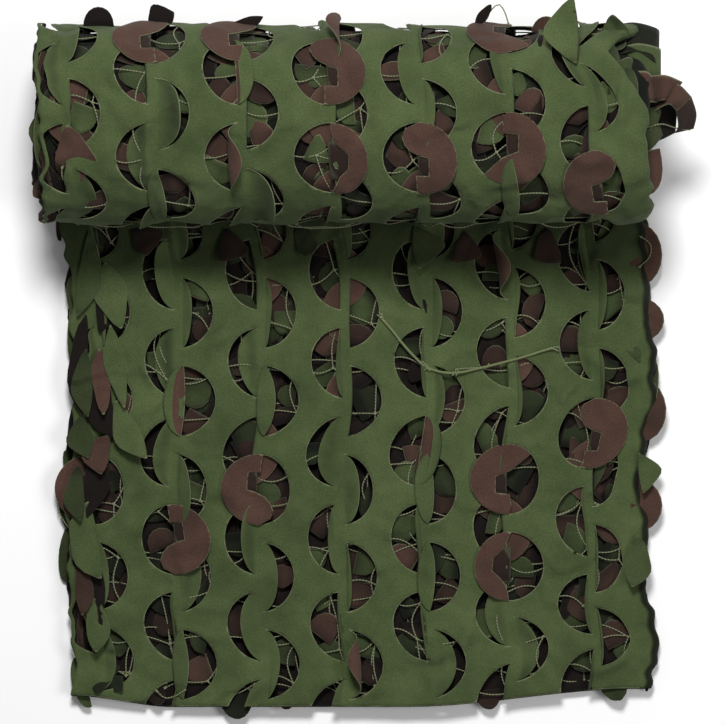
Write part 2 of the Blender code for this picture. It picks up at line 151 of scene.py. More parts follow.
# What each leaf does, or its gap in millimetres; below nothing it lies over the cloth
# behind it.  One line for each column of cuts.
TAIL_CUTS = {
    "left": (
        (0, 14, 0, 16, 18, 0),
        (9, SINK, 10, FLIP, 27, 24),
        (TUCK, SINK, TUCK, 13, 10, 14),
        (TUCK, 22, 9, 17, 28, 18),
        (12, 24, -42, 23, 28, 0),
        (CURL, TUCK, 28, TUCK, SINK, 24),
        (20, 15, FLIP, 26, 24, 26),
    ),
    "right": (
        (24, 20, 14, NARROW, 16, 15),
        (12, 18, -44, 13, SINK, -28),
        (26, 22, -23, FLIP, 13, 17),
        (16, TUCK, TUCK, 10, 23, CURL),
        (SINK, 17, 17, -22, -25, SINK),
        (22, 24, 23, WIDE, NARROW, SINK),
        (25, 19, 24, TUCK, 28, 26),
    ),
}
ROLL_FIRST_ROW = {"left": -1, "right": -2}
ROLL_CUTS = {
    "left": (
        (14, 12, TUCK, 14, 20),
        (20, TUCK, SINK, 14, 24),
        (TUCK, -34, CURL, 16, 12),
        (20, FLIP, NARROW, 24, SINK),
        (20, 13, FLIP, 26, 16),
        (24, 18, WIDE, 20, 28),
        (16, 9, TUCK, 24, 12),
    ),
    "right": (
        (16, 14, TUCK, SINK, 18),
        (26, FLIP, BEND, -27, TUCK),
        (SINK, FLIP, TUCK, BEND, 14),
        (12, CURL, TUCK, TUCK, 22),
        (20, 26, 17, TUCK, -26),
        (28, WIDE, TUCK, -28, 12),
        (14, 16, 13, FLIP, 20),
    ),
}
# The cuts of the plies that only show through these: how far they slide from one ply to the
# next, where their rows start and end, and what their leaves do in turn.
HIDDEN_SLIDE, HIDDEN_ROW, HIDDEN_END = 0.013, {"left": 0.114, "right": 0.070}, 0.045
HIDDEN_STATES = (SINK, 22, FLIP, 9, BEND, TUCK, 15, WIDE, CURL, NARROW, 12, BEND, FLIP)

# Outlines of turned leaves in millimetres from the arc's centre, inner side, top to bottom.
FLAP_RADIUS, FLAP_STEPS, FLAP_PART = 35.2, 24, 4.0
FLAP_ARC = {FLIP: (102.0, -92.0), WIDE: (128.0, -94.0), NARROW: (96.0, -90.0)}
FLAP_INNER = {
    FLIP: ((-5.9, 33.8), (-5.2, 17.2), (7.0, 17.2), (8.4, 0.0), (1.1, -1.9), (-9.0, -7.0),
           (-14.0, -13.0), (-16.7, -21.0), (-12.9, -29.3)),
    WIDE: ((-24.0, 24.5), (-6.0, 8.5), (9.0, 2.5), (9.5, -13.5), (-4.5, -15.0), (-6.0, -26.5)),
    NARROW: ((-2.0, 33.0), (7.0, 17.0), (16.0, 9.0), (17.0, -4.0), (8.0, -12.0), (4.0, -17.0),
             (1.0, -26.0)),
}
# How it stands over the cloth: at rest, its lift towards the arc, its waves, its crease, its
# tilt, and the least.
FLAP_REST, FLAP_LIFT, FLAP_WAVE, FLAP_WAVE_SIZE = 2.0, 2.2, 2.0, 24.0
FLAP_CREASE, CREASE_WIDTH, FLAP_TILT, FLAP_LEAST = 0.7, 2.4, 2.0, 1.2
# A strip of cloth, dark with painted shade, under a turned leaf's notch where the shaded hole shows: low
# x, low y, high x, high y; and its drop.
BACKING_DROP = 1.0
FLAP_BACKING = {FLIP: (-2.0, -3.5, 10.5, 19.0), WIDE: (-2.0, -17.5, 12.0, 10.0),
                NARROW: (-2.0, -17.0, 19.0, 20.0)}
SIDE_LIMIT = PLY_WIDTH / 2 - 0.001
# In millimetres, as all that follows on one leaf:
ARC = CUT_RADIUS * 1000.0   # a leaf's radius
LEAF = ARC - HINGE_INSET * 1000.0       # from its straight side to the top of its arc
GAP_EASE = 3.5              # how much further an outer leaf is drawn back
LEAF_REST = 1.1             # from one layer of a pleat to the next
FLAT_FOLD = 0.05            # a pleat less deep than this is none
FOLD_SHARES = (0.0, 0.5, 0.8, 0.92, 1.0, 1.08, 1.25)    # a pleat's lines, by its depth
FULL_DRAW = 31.5            # a leaf drawn back this far is all gathered
HIDDEN_RISE = 8.5           # how far a hidden leaf may stand up
# Chance for one leaf: how far it stands up or hangs, the share that stands, and how crooked.
LEAF_UP, LEAF_DOWN, UP_SHARE, LEAF_LEAN = (0.4, 3.6), (0.5, 2.4), 0.7, 0.6
TUCK_TURN, TUCK_RADIUS, TUCK_DROP = 3.6, 1.15, 2.4      # the turn by which a leaf goes in
SINK_FALL = 5.0
SINK_REACH, SINK_WAVE = 0.68, 0.9
TUCK_SLOPE, TUCK_WAVE = 0.07, 0.6
LEAF_WAVE = 19.0            # size of a leaf's own waves
# A leaf that is drawn back: its waves, its rise in the middle and its dip at the straight side.
DRAWN_WAVE, DRAWN_RISE, DRAWN_DIP = 1.5, 1.5, 1.5
BEND_RADIUS = {BEND: 24.0, CURL: 8.5}
# Share of a leaf that still reaches over its hole.
STATE_COVER = {SINK: 0.45, BEND: 0.7, CURL: 0.3}

# How fine outer cuts are, and hidden ones: steps round the arc, a leaf's rows and columns, and
# the step of a turned leaf's mesh.
ARC_STEPS = {True: 18, False: 10}
LEAF_ROWS = {True: 20, False: 12}
LEAF_COLUMNS = {True: 14, False: 11}
FLAP_MESH = {True: 2.6, False: 5.0}

# Loose leaves: x, y, z, heading and tilt in degrees, reach, half width, bend in radians,
# the face that is up, painted shade, and whether both ends are pointed.
ROLL_LEAVES = (
    # The dark tabs along the roll's top carry painted shadow.
    (-0.2535, 0.316, 0.098, 92, 6, 0.026, 0.015, -0.5, "brown", 0.98, False),
    (-0.2020, 0.316, 0.098, 42, 8, 0.030, 0.013, -0.4, "brown", 0.97, True),
    (-0.1240, 0.324, 0.102, 12, 5, 0.034, 0.006, 0.4, "brown", 0.95, True),
    (0.1150, 0.322, 0.104, 52, 14, 0.032, 0.005, 0.8, "brown", 0.9, True),
    (0.1820, 0.312, 0.110, 70, 5, 0.020, 0.013, 0.3, "brown", 0.25, False),
    (0.2120, 0.282, 0.158, 92, -6, 0.068, 0.0145, -0.30, "green", 0.0, True),
    (0.1960, 0.322, 0.132, 34, 16, 0.026, 0.006, 0.9, "brown", 0.95, True),
    (0.2380, 0.312, 0.118, 60, 0, 0.024, 0.014, 0.6, "green", 0.25, True),
    (0.2640, 0.282, 0.128, -80, -12, 0.030, 0.011, 0.4, "green", 0.45, True),
    (0.2720, 0.238, 0.122, -48, -20, 0.034, 0.009, -0.6, "green", 0.3, True),
    (0.2760, 0.198, 0.128, -80, -6, 0.044, 0.019, 0.5, "brown", 0.2, False),
    (-0.2800, 0.222, 0.1735, -97, -14, 0.066, 0.019, -0.75, "brown", 0.05, True),
    (-0.2950, 0.180, 0.112, -130, 0, 0.034, 0.014, 0.4, "brown", 0.3, True),
    (-0.2960, 0.300, 0.112, -95, 0, 0.060, 0.012, 0.3, "green", 0.1, True),
    (-0.3000, 0.250, 0.110, -98, 0, 0.056, 0.010, 0.3, "green", 0.35, True),
)
TAIL_LEAVES = (
    (-0.2720, -0.312, 0.012, -64, -8, 0.030, 0.015, 0.7, "green", 0.90, True),
    (-0.2560, -0.326, 0.012, 16, 0, 0.028, 0.009, 1.1, "green", 0.85, True),
    (-0.2060, -0.330, 0.010, -60, -4, 0.022, 0.010, 0.6, "brown", 0.9, False),
    (-0.1230, -0.336, 0.009, -78, -4, 0.028, 0.016, 0.5, "green", 0.95, False),
    (-0.0700, -0.338, 0.009, -96, -4, 0.016, 0.009, 0.4, "brown", 0.6, False),
    (0.1300, -0.334, 0.009, -84, -4, 0.020, 0.012, 0.4, "brown", 0.7, False),
    (0.2500, -0.322, 0.010, -60, -4, 0.026, 0.014, 0.5, "green", 0.6, True),
    # Near-black leaves under the others are dark sheets of painted shade, standing for the shaded gaps at
    # the left side.
    (-0.2570, 0.084, 0.0190, -90, 0, 0.062, 0.013, 0.1, "brown", 0.99, True),
    (-0.2700, 0.040, 0.0186, -92, 0, 0.100, 0.010, 0.1, "brown", 0.97, True),
    (-0.2500, -0.022, 0.0188, -84, 0, 0.060, 0.013, 0.1, "brown", 0.98, True),
    (-0.2670, -0.092, 0.0188, -92, 0, 0.070, 0.011, 0.1, "brown", 0.97, True),
    (-0.2620, -0.198, 0.0188, -86, 0, 0.080, 0.009, 0.1, "brown", 0.98, True),
    (-0.2510, 0.092, 0.0205, -76, 2, 0.068, 0.0155, 0.15, "green", 0.0, True),
    (-0.2670, 0.124, 0.0200, -98, 0, 0.086, 0.011, 0.15, "green", 0.30, True),
    (-0.2460, 0.030, 0.0205, -80, 1, 0.084, 0.010, 0.15, "green", 0.05, True),
    (-0.2570, 0.006, 0.0208, -86, 1, 0.066, 0.010, 0.2, "brown", 0.08, True),
    (-0.2700, 0.006, 0.0204, -88, 1, 0.068, 0.010, 0.2, "green", 0.62, True),
    (-0.2400, -0.045, 0.0210, -62, 2, 0.066, 0.0125, 0.2, "green", 0.0, True),
    (-0.2750, -0.060, 0.0200, -80, 1, 0.044, 0.012, 0.3, "green", 0.55, True),
    (-0.2480, -0.080, 0.0206, -100, 3, 0.040, 0.013, 0.3, "brown", 0.20, True),
    (-0.2770, -0.110, 0.0196, -88, 1, 0.056, 0.010, 0.3, "green", 0.65, True),
    (-0.2680, -0.146, 0.0206, -80, 2, 0.078, 0.0155, 0.2, "green", 0.10, True),
    (-0.2780, -0.200, 0.0196, -86, 1, 0.060, 0.009, 0.3, "brown", 0.55, True),
    (-0.2660, -0.240, 0.0206, -84, 1, 0.056, 0.012, 0.2, "green", 0.10, True),
    (0.2700, 0.100, 0.0130, 0, 0, 0.034, 0.032, 0.2, "brown", 0.05, False),
    (0.2720, 0.036, 0.0130, -4, 0, 0.034, 0.022, 0.2, "brown", 0.15, False),
    (0.2740, -0.055, 0.0130, 4, 0, 0.034, 0.032, 0.2, "brown", 0.30, False),
    (0.2720, -0.150, 0.0130, 0, 0, 0.032, 0.026, 0.2, "brown", 0.20, False),
    (0.2790, 0.046, 0.0192, -88, 0, 0.052, 0.009, 0.1, "green", 0.40, True),
    (0.2800, -0.098, 0.0195, -84, 0, 0.040, 0.010, 0.2, "green", 0.15, True),
    (0.2780, -0.180, 0.018, -96, 3, 0.052, 0.013, 0.3, "green", 0.30, True),
    # Leaves beside the roll, darkened by its painted shadow.
    (-0.2240, 0.124, 0.020, -60, 2, 0.030, 0.014, 0.4, "brown", 0.72, True),
    (-0.1300, 0.126, 0.020, -100, 2, 0.036, 0.013, 0.5, "brown", 0.74, True),
    (-0.0600, 0.128, 0.020, -70, 2, 0.034, 0.011, 0.5, "green", 0.70, True),
    (0.0560, 0.128, 0.020, -84, 2, 0.044, 0.014, 0.4, "green", 0.45, True),
    (0.1060, 0.124, 0.020, -110, 2, 0.036, 0.012, 0.5, "brown", 0.66, True),
    (0.1900, 0.126, 0.020, -72, 2, 0.038, 0.013, 0.4, "brown", 0.68, True),
)
# Loose leaves along the sides, lowest and highest: how far in they start, length, half width,
# bend in radians, painted shade, the way to the first and to the next, how far off its ply one starts,
# and how far it turns along the side and up; and the share with the green face up.
SIDE_START, SIDE_REACH, SIDE_HALF = (0.004, 0.016), (0.006, 0.016), (0.018, 0.034)
SIDE_BEND, SIDE_DARK, SIDE_FIRST, SIDE_STEP = (-0.8, 1.0), (0.15, 0.8), (0.0, 0.03), (0.026, 0.056)
SIDE_HEIGHT, SIDE_YAW, SIDE_TIP, SIDE_GREEN = (-0.001, 0.002), (-0.45, 0.35), (-0.25, 0.35), 0.6
LEAF_RIPPLE, RIPPLE_SIZE = 0.0012, 0.012
# Scraps behind the holes, the same way; how far behind the ply, the share that starts green,
# how near they come to the sides and the free end, and how fine they are.
SCRAP_DROP, SCRAP_REACH, SCRAP_HALF = (0.0050, 0.0084), (0.017, 0.032), (0.011, 0.020)
SCRAP_BEND = (-0.35, 0.10)
# Painted shade of the scraps, lowest and highest, on each part.
SCRAP_DARK = {"flat": (0.20, 0.95), "roll": (0.05, 0.75)}
SCRAP_GREEN = {"flat": 0.4, "roll": 0.25}
SCRAP_LIMIT, SCRAP_FIRST, SCRAP_ROWS = 0.272, 0.034, 7
# How far they stray, how far apart those in one hole lie, and the share with pointed ends.
SCRAP_STRAY_X, SCRAP_STRAY_V = (-0.007, 0.005), (-0.007, 0.007)
SCRAP_STEP, SCRAP_POINTED = 0.025, 0.25
# By how far the outer leaf reaches, in millimetres: three scraps, one at most, or none.
SCRAP_OPEN, SCRAP_NARROW, SCRAP_CLOSED = 4.0, 15.0, 25.0
# A ribbon's faces between two pairs of its points, those across it, and the length of one.
STRIP_STEPS, STRIP_COLUMNS, STRIP_LENGTH = 6, 5, 0.004
# Ribbons of cloth: pairs of edge points along each, its upper face and its painted shade.
ROLL_STRIPS = (
    ((((0.248, 0.322, 0.086), (0.252, 0.292, 0.120)), ((0.270, 0.326, 0.096), (0.272, 0.296, 0.122)),
      ((0.2930, 0.320, 0.100), (0.2900, 0.286, 0.120)), ((0.2965, 0.314, 0.086), (0.2955, 0.276, 0.092))),
     "green", 0.95),
    ((((0.256, 0.300, 0.110), (0.256, 0.268, 0.118)), ((0.274, 0.304, 0.120), (0.276, 0.270, 0.124)),
      ((0.2945, 0.300, 0.114), (0.2950, 0.266, 0.114)), ((0.2970, 0.296, 0.092), (0.2965, 0.262, 0.086))),
     "green", 0.12),
    ((((0.254, 0.286, 0.132), (0.258, 0.262, 0.136)), ((0.266, 0.290, 0.130), (0.268, 0.266, 0.130)),
      ((0.272, 0.278, 0.112), (0.272, 0.258, 0.112))), "green", 0.40),
    ((((0.262, 0.276, 0.118), (0.268, 0.248, 0.120)), ((0.280, 0.276, 0.137), (0.284, 0.246, 0.133)),
      ((0.288, 0.270, 0.124), (0.292, 0.246, 0.120))), "brown", 0.0),
    ((((0.284, 0.272, 0.124), (0.288, 0.246, 0.120)), ((0.300, 0.272, 0.138), (0.298, 0.248, 0.132)),
      ((0.317, 0.266, 0.126), (0.306, 0.250, 0.118))), "brown", 0.12),
    ((((0.296, 0.262, 0.112), (0.290, 0.238, 0.118)), ((0.312, 0.264, 0.128), (0.303, 0.244, 0.130)),
      ((0.326, 0.252, 0.120), (0.311, 0.238, 0.122))), "brown", 0.20),
    ((((0.326, 0.252, 0.120), (0.311, 0.238, 0.122)), ((0.332, 0.236, 0.104), (0.314, 0.224, 0.106)),
      ((0.330, 0.222, 0.092), (0.312, 0.218, 0.092))), "brown", 0.66),
    ((((0.262, 0.262, 0.098), (0.264, 0.206, 0.102)), ((0.290, 0.260, 0.102), (0.290, 0.208, 0.102)),
      ((0.314, 0.242, 0.094), (0.312, 0.218, 0.092))), "brown", 0.99),
    ((((0.262, 0.210, 0.112), (0.268, 0.192, 0.120)), ((0.280, 0.218, 0.114), (0.286, 0.200, 0.116)),
      ((0.296, 0.228, 0.100), (0.300, 0.216, 0.098))), "green", 0.45),
)

# ---- string and cord -------------------------------------------------------------------
STRING_MESH = 0.044         # width of a mesh of the string net
STRING_ROW = STRING_MESH * 1.05     # and its length
NET_MARGIN = 0.020          # from the ply's edge to the outermost knots
STRING_LIMIT = PLY_WIDTH / 2 - 0.016
# What chance gives each knot and string, lowest and highest: how far a knot strays, how far
# it lies behind its ply, and how far a string bows and sags.
KNOT_STRAY_X, KNOT_STRAY_V, KNOT_DROP = (-0.009, 0.009), (-0.011, 0.011), (0.0024, 0.0042)
STRING_BOW, STRING_SAG, STRING_PARTS = (-0.011, 0.011), (0.0, 0.0010), 7
STRING_RADIUS = 0.00062
STRING_STEP = 0.004         # length of one piece of a string's tube
STRING_LAY = 0.0032         # length in which its two plies turn once
KNOT_RADIUS = 0.0015
KNOT_SHAPE = (1.25, 0.85, 0.8)
KNOT_SEED = 0
# Loose lengths of the border string.
FLAT_RUNS = (
    ((-0.276, -0.128, 0.016), (-0.288, -0.134, 0.014), (-0.297, -0.144, 0.011), (-0.299, -0.154, 0.009),
     (-0.293, -0.166, 0.010), (-0.284, -0.176, 0.013), (-0.274, -0.184, 0.016)),
    ((-0.200, -0.335, 0.017), (-0.192, -0.342, 0.015), (-0.182, -0.340, 0.016), (-0.172, -0.334, 0.018)),
    ((0.282, 0.118, 0.017), (0.292, 0.110, 0.018), (0.291, 0.098, 0.018), (0.281, 0.088, 0.018)),
)
ROLL_RUNS = (
    ((-0.268, 0.1320, 0.096), (-0.256, 0.1275, 0.088), (-0.243, 0.1262, 0.080), (-0.231, 0.1266, 0.078),
     (-0.222, 0.1300, 0.074)),
    ((-0.214, 0.1305, 0.078), (-0.204, 0.1262, 0.080), (-0.189, 0.1258, 0.077), (-0.174, 0.1262, 0.080),
     (-0.160, 0.1258, 0.077), (-0.146, 0.1310, 0.080)),
    ((-0.078, 0.1330, 0.092), (-0.066, 0.1268, 0.084), (-0.050, 0.1256, 0.078), (-0.034, 0.1262, 0.080),
     (-0.018, 0.1256, 0.078), (-0.004, 0.1300, 0.080)),
    ((-0.070, 0.1330, 0.078), (-0.052, 0.1254, 0.073), (-0.034, 0.1250, 0.072), (-0.012, 0.1262, 0.074),
     (0.008, 0.1310, 0.078)),
    ((0.078, 0.1310, 0.086), (0.090, 0.1262, 0.080), (0.104, 0.1256, 0.078), (0.118, 0.1300, 0.080)),
    ((0.176, 0.1320, 0.090), (0.188, 0.1264, 0.082), (0.204, 0.1260, 0.080), (0.218, 0.1310, 0.084)),
    ((0.262, 0.214, 0.120), (0.282, 0.222, 0.112), (0.298, 0.226, 0.104), (0.312, 0.2225, 0.098),
     (0.327, 0.2210, 0.092), (0.3285, 0.2290, 0.094), (0.318, 0.236, 0.100)),
    ((0.124, 0.324, 0.104), (0.130, 0.336, 0.106), (0.138, 0.343, 0.107), (0.144, 0.336, 0.106),
     (0.148, 0.324, 0.104)),
)

CORD_DIAMETER = 0.0025
CORD_CLEARANCE = 0.0007     # between the cord and the ply that it lies on
CORD_ROUTE = (
    (0.0225, 0.038), (0.034, 0.025), (0.046, 0.010), (0.057, -0.002), (0.067, -0.011),
    (0.079, -0.016), (0.092, -0.018), (0.105, -0.017), (0.118, -0.014), (0.131, -0.011),
    (0.143, -0.008), (0.158, -0.004), (0.172, 0.000), (0.184, 0.004), (0.195, 0.007),
)
# String tied round the cord: frayed ends at its tip, a turn at each knot, and a doubled
# stretch; x, y and millimetres above the cord's middle.
CORD_TIES = (
    ((0.0262, 0.0338, 0.6), (0.0222, 0.0384, 0.9), (0.0192, 0.0404, 0.6)),
    ((0.0258, 0.0340, 0.4), (0.0226, 0.0402, 0.7), (0.0212, 0.0432, 0.5)),
    ((0.0270, 0.0330, 0.6), (0.0240, 0.0396, 1.2), (0.0238, 0.0420, 1.0)),
    ((0.0400, 0.0190, 0.5), (0.0424, 0.0172, 1.6), (0.0412, 0.0142, 1.0)),
    ((0.0640, -0.0060, 0.5), (0.0668, -0.0084, 1.9), (0.0690, -0.0128, 1.4), (0.0672, -0.0150, 0.4)),
    ((0.0700, -0.0092, 0.6), (0.0680, -0.0118, 2.2), (0.0700, -0.0150, 1.2), (0.0724, -0.0160, 0.4)),
    ((0.0940, -0.0206, 0.4), (0.0968, -0.0186, 1.9), (0.0990, -0.0156, 1.2), (0.0982, -0.0140, 0.4)),
    ((0.0980, -0.0206, 0.4), (0.1006, -0.0180, 1.9), (0.1010, -0.0152, 0.8)),
    ((0.0980, -0.0142, 0.4), (0.1060, -0.0134, 0.6), (0.1140, -0.0130, 0.6), (0.1220, -0.0128, 0.6),
     (0.1300, -0.0120, 0.4)),
    ((0.1280, -0.0130, 0.5), (0.1304, -0.0110, 1.9), (0.1310, -0.0084, 0.6)),
    ((0.1880, 0.0058, 0.4), (0.1960, 0.0080, 0.8), (0.2010, 0.0074, 0.5)),
    ((0.1900, 0.0062, 0.4), (0.1962, 0.0060, 0.8), (0.2004, 0.0040, 0.4)),
)

# ---- colours (linear) ------------------------------------------------------------------
GREEN = (0.041, 0.060, 0.020, 1.0)
GREEN_WORN = (0.075, 0.103, 0.038, 1.0)
BROWN = (0.055, 0.0295, 0.0208, 1.0)
BROWN_WORN = (0.087, 0.0455, 0.0325, 1.0)
EDGE_THREAD = (0.21, 0.22, 0.13, 1.0)
STRING = (0.215, 0.235, 0.115, 1.0)
# Painted shade in the groove between a string's two strands.
STRING_GROOVE_SHADE = (0.045, 0.053, 0.023, 1.0)
CORD_COLOUR = (0.150, 0.185, 0.062, 1.0)
FLOOR = (0.985, 0.985, 0.985, 1.0)
DEEPEST_LIGHT = 0.05        # the share of light that the darkest painted shade leaves

# ---- finishes: the shader's own sockets, and the weave's scales on the flat cloth ---------
CLOTH_FINISH = {"Roughness": 0.9, "Specular IOR Level": 0.18, "Sheen Weight": 0.04,
                "Sheen Roughness": 0.6}
EDGE_FINISH = {"Roughness": 0.95}
STRING_FINISH = {"Roughness": 0.8, "Sheen Weight": 0.25}
FLOOR_FINISH = {"Roughness": 0.9, "Base Color": FLOOR}
SLUB_SCALE = (520.0, 700.0, 1.0)
THREAD_SCALE = 260.0


# ---- laying the stack: the same rule as the solids -------------------------------------
def smooth(value, low, high):
    """0 below low, 1 above high, and an even ease between them."""
    share = min(max((value - low) / (high - low), 0.0), 1.0)
    return share * share * (3.0 - 2.0 * share)


def waves(first, second, table):
    """The sum of a table's waves at a pair of values."""
    return sum(height * math.sin(fast * first + slow * second + start)
               for fast, slow, start, height in table)


def roll_lump(x, angle):
    """How far the roll's outer turns stand out there; nothing where it rests."""
    rest = 0.5 + 0.5 * math.sin(angle)
    fade = 1.0 - smooth((angle + math.pi / 2) / math.tau, 0.9, PLAIN_TURNS)
    return LUMP_HEIGHT * rest * fade * (1.0 + waves(x, angle, LUMP_WAVES))


def roll_point(angle, x):
    """Y and Z of the stack's outer face on the roll, at an angle counted from +Y."""
    turn = (angle + math.pi / 2) / math.tau
    radius = ROLL_RADIUS - TURN_STEP * turn + roll_lump(x, angle)
    slide = ROLL_FLAT * math.tanh(ROLL_SQUARE * math.cos(angle)) / math.tanh(ROLL_SQUARE)
    return Vector((ROLL_Y + slide + radius * math.cos(angle), ROLL_RADIUS + radius * math.sin(angle)))


def roll_lengths(steps_per_turn=180):
    """Angles along the roll with the length of stack wound up to each."""
    rows = [(-math.pi / 2, 0.0)]
    before = roll_point(rows[0][0], 0.0)
    for step in range(1, int(TURNS * steps_per_turn) + 1):
        angle = -math.pi / 2 + math.tau * step / steps_per_turn
        here = roll_point(angle, 0.0)
        rows.append((angle, rows[-1][1] + (here - before).length))
        before = here
    return rows


ROLL_LENGTHS = roll_lengths()
SHEET_LENGTH = TAIL_LENGTH + ROLL_LENGTHS[-1][1]


def roll_angle(length):
    """The angle at which that length of stack is wound up."""
    low, high = 0, len(ROLL_LENGTHS) - 1
    while high - low > 1:
        middle = (low + high) // 2
        if ROLL_LENGTHS[middle][1] > length:
            high = middle
        else:
            low = middle
    (angle_a, length_a), (angle_b, length_b) = ROLL_LENGTHS[low], ROLL_LENGTHS[high]
    return angle_a + (angle_b - angle_a) * (length - length_a) / (length_b - length_a)


def roll_length(angle):
    """The length of stack wound up at an angle."""
    share = (angle + math.pi / 2) / (ROLL_LENGTHS[1][0] - ROLL_LENGTHS[0][0])
    return ROLL_LENGTHS[min(round(share), len(ROLL_LENGTHS) - 1)][1]


ROLL_TOP = TAIL_LENGTH + roll_length(math.pi / 2)
TURN_END = TAIL_LENGTH + roll_length(math.pi * 1.5)
CORNER_PLACE = TAIL_LENGTH + roll_length(math.radians(48.0))


def bulge(x, v):
    """Share by which the flat part's plies rise or sink; nothing under the roll."""
    fade = 1.0 - smooth(v, *BULGE_FADE)
    return BULGE_SHARE * fade * waves(x, v, BULGE_WAVES)


def across(x, v):
    """X of a place on the stack: its edges wander, and the roll is the wider part."""
    share = smooth(v, *WIDTH_CHANGE)
    scale = TAIL_SCALE + (ROLL_SCALE - TAIL_SCALE) * share
    return x * scale + ROLL_SHIFT * share + waves(x, v, WANDER_WAVES)


def tail_height(x, v, height):
    """Z on the flat part: the bottom ply stays flat and the others rise and sink."""
    return CLOTH / 2 + (height - CLOTH / 2) * (1.0 + bulge(x, v))


def end_lean(x, v):
    """How far the stack's free end runs up at its right side and its left corner."""
    lift = ROW_LEAN * smooth(x, *END_RISE) + CORNER_LEAN * smooth(-x, *CORNER_RISE)
    return lift * (1.0 - smooth(v, *LEAN_FADE))


def lay(x, v, height):
    """A point of the stack: x across it, v along it, height above its outer face."""
    if v <= TAIL_LENGTH:
        y = TAIL_END + v + end_lean(x, v)
        y += END_SLOPE * height * (1.0 - smooth(v, *SLOPE_FADE))
        return Vector((across(x, v), y, tail_height(x, v, height))) + CENTRE_SHIFT
    angle = roll_angle(min(v, SHEET_LENGTH) - TAIL_LENGTH)
    here = roll_point(angle, x)
    along = roll_point(angle + 0.01, x) - roll_point(angle - 0.01, x)
    inward = Vector((-along.y, along.x)).normalized()
    place = here + inward * height
    return Vector((across(x, v), place.x, place.y)) + CENTRE_SHIFT


def ply_height(ply, v):
    """Height of a ply above the stack's outer face; the hidden plies keep to the far side."""
    flat, rolled = FLAT_HEIGHTS[ply], ROLLED_HEIGHTS[ply]
    return flat + (rolled - flat) * smooth(v, *PLIES_CLOSE)


def sheet_u(ply, x):
    """u of a place on a ply; every second ply runs back."""
    distance = PLY_WIDTH / 2 + (x if ply % 2 == 0 else -x)
    return ply * PLY_RUN + distance


def ply_place(u, v):
    """Ply, x and height of a place of the flat sheet."""
    ply = min(max(int(u / PLY_RUN), 0), PLIES - 1)
    distance = u - ply * PLY_RUN
    way = 1 if ply % 2 == 0 else -1
    height = ply_height(ply, v)
    if distance <= PLY_WIDTH:
        return ply, way * (distance - PLY_WIDTH / 2), height
    radius = (ply_height(ply + 1, v) - height) / 2
    turn = math.pi * (distance - PLY_WIDTH) / FOLD_LENGTH
    return ply, way * (PLY_WIDTH / 2 + radius * math.sin(turn)), height + radius * (1.0 - math.cos(turn))


# ---- the cloth's relief ----------------------------------------------------------------
def soft_noise(x, v, size, seed):
    """Smooth noise from -1 to 1 with lumps about that size."""
    return noise.noise(Vector((x / size, v / size, 7.3 * seed)))


def relief(x, v, ply):
    """Small soft waves of one ply, in metres."""
    broad, broad_size = BROAD_WAVE
    fine, fine_size = FINE_WAVE
    return (broad * soft_noise(x, v, broad_size, ply + 1)
            + fine * soft_noise(x, v, fine_size, ply + 11))


class Cut:
    """One half-round cut: its ply, centre, the side it bulges to and its leaf's state."""

    def __init__(self, ply, side, x, v, state, outward, fine, seed):
        """Keeps the cut's place and state, and draws its leaf's chances from the seed."""
        self.ply, self.side, self.x, self.v = ply, side, x, v
        self.state, self.outward, self.fine = state, outward, fine
        self.turned = state in FLAP_INNER
        self.inset = TURNED_INSET if self.turned else HINGE_INSET
        self.reach = math.acos(self.inset / CUT_RADIUS)
        chance = random.Random(seed)
        self.seed = seed
        self.mirror = chance.random() < 0.5
        stands = chance.random() < UP_SHARE
        self.rise = chance.uniform(*LEAF_UP) if stands else -chance.uniform(*LEAF_DOWN)
        self.lean = chance.uniform(-LEAF_LEAN, LEAF_LEAN)
        self.flutter = chance.uniform(-1.0, 1.0)
        self.bend = chance.uniform(-1.0, 1.0)
        self.corners = self.outline()

    def outline(self):
        """The hole on the flat sheet, in u and v."""
        steps = ARC_STEPS[self.fine]
        spots = []
        for step in range(steps + 1):
            angle = self.reach * (2.0 * step / steps - 1.0)
            spots.append((CUT_RADIUS * math.cos(angle), CUT_RADIUS * math.sin(angle)))
        spots += [(self.inset, along) for along in reversed(self.rows()[1:-1])]
        limit = PLY_WIDTH / 2 - EDGE_MARGIN
        places = [(min(max(self.x + self.side * depth, -limit), limit), self.v + along)
                  for depth, along in spots]
        return [Vector((sheet_u(self.ply, x), v)) for x, v in places]

    def rows(self):
        """Places of the leaf's lines along its straight side, closer at the ends."""
        half = CUT_RADIUS * math.sin(self.reach)
        count = LEAF_ROWS[self.fine]
        return [half * math.sin(math.pi / 2 * (2.0 * row / count - 1.0)) for row in range(count + 1)]


def arc_depth(along):
    """From the arc's centre line to the arc, in millimetres."""
    return math.sqrt(max(ARC ** 2 - along ** 2, 0.0))


def leaf_depths(cut, along, columns):
    """Distances from the straight side to the arc on one line of the leaf, in millimetres."""
    full = max(arc_depth(along) - cut.inset * 1000.0, 0.0)
    fold, squeeze = pleat(cut, along, full)
    if fold <= FLAT_FOLD:
        return [full * step / columns for step in range(columns + 1)], fold, squeeze
    near = [fold * share for share in FOLD_SHARES]
    rest = columns - len(near) + 1
    far = [near[-1] + (full - near[-1]) * step / rest for step in range(1, rest + 1)]
    return near + far, fold, squeeze


def pleat(cut, along, full):
    """Depth of the pleat that draws the leaf back, and how much the rest is gathered."""
    if isinstance(cut.state, str) or full <= 0.0:
        return 0.0, 1.0
    if cut.state < 0:
        share = (full / (ARC - cut.inset * 1000.0)) ** 0.9
        return min(0.5 * -cut.state * share, 0.7 * full), 1.0
    skew = 1.0 + 0.28 * cut.lean * along / ARC
    drawn = cut.state + (GAP_EASE if cut.fine else 0.0)
    return 0.0, max(1.0 - drawn / FULL_DRAW * skew, 0.07)


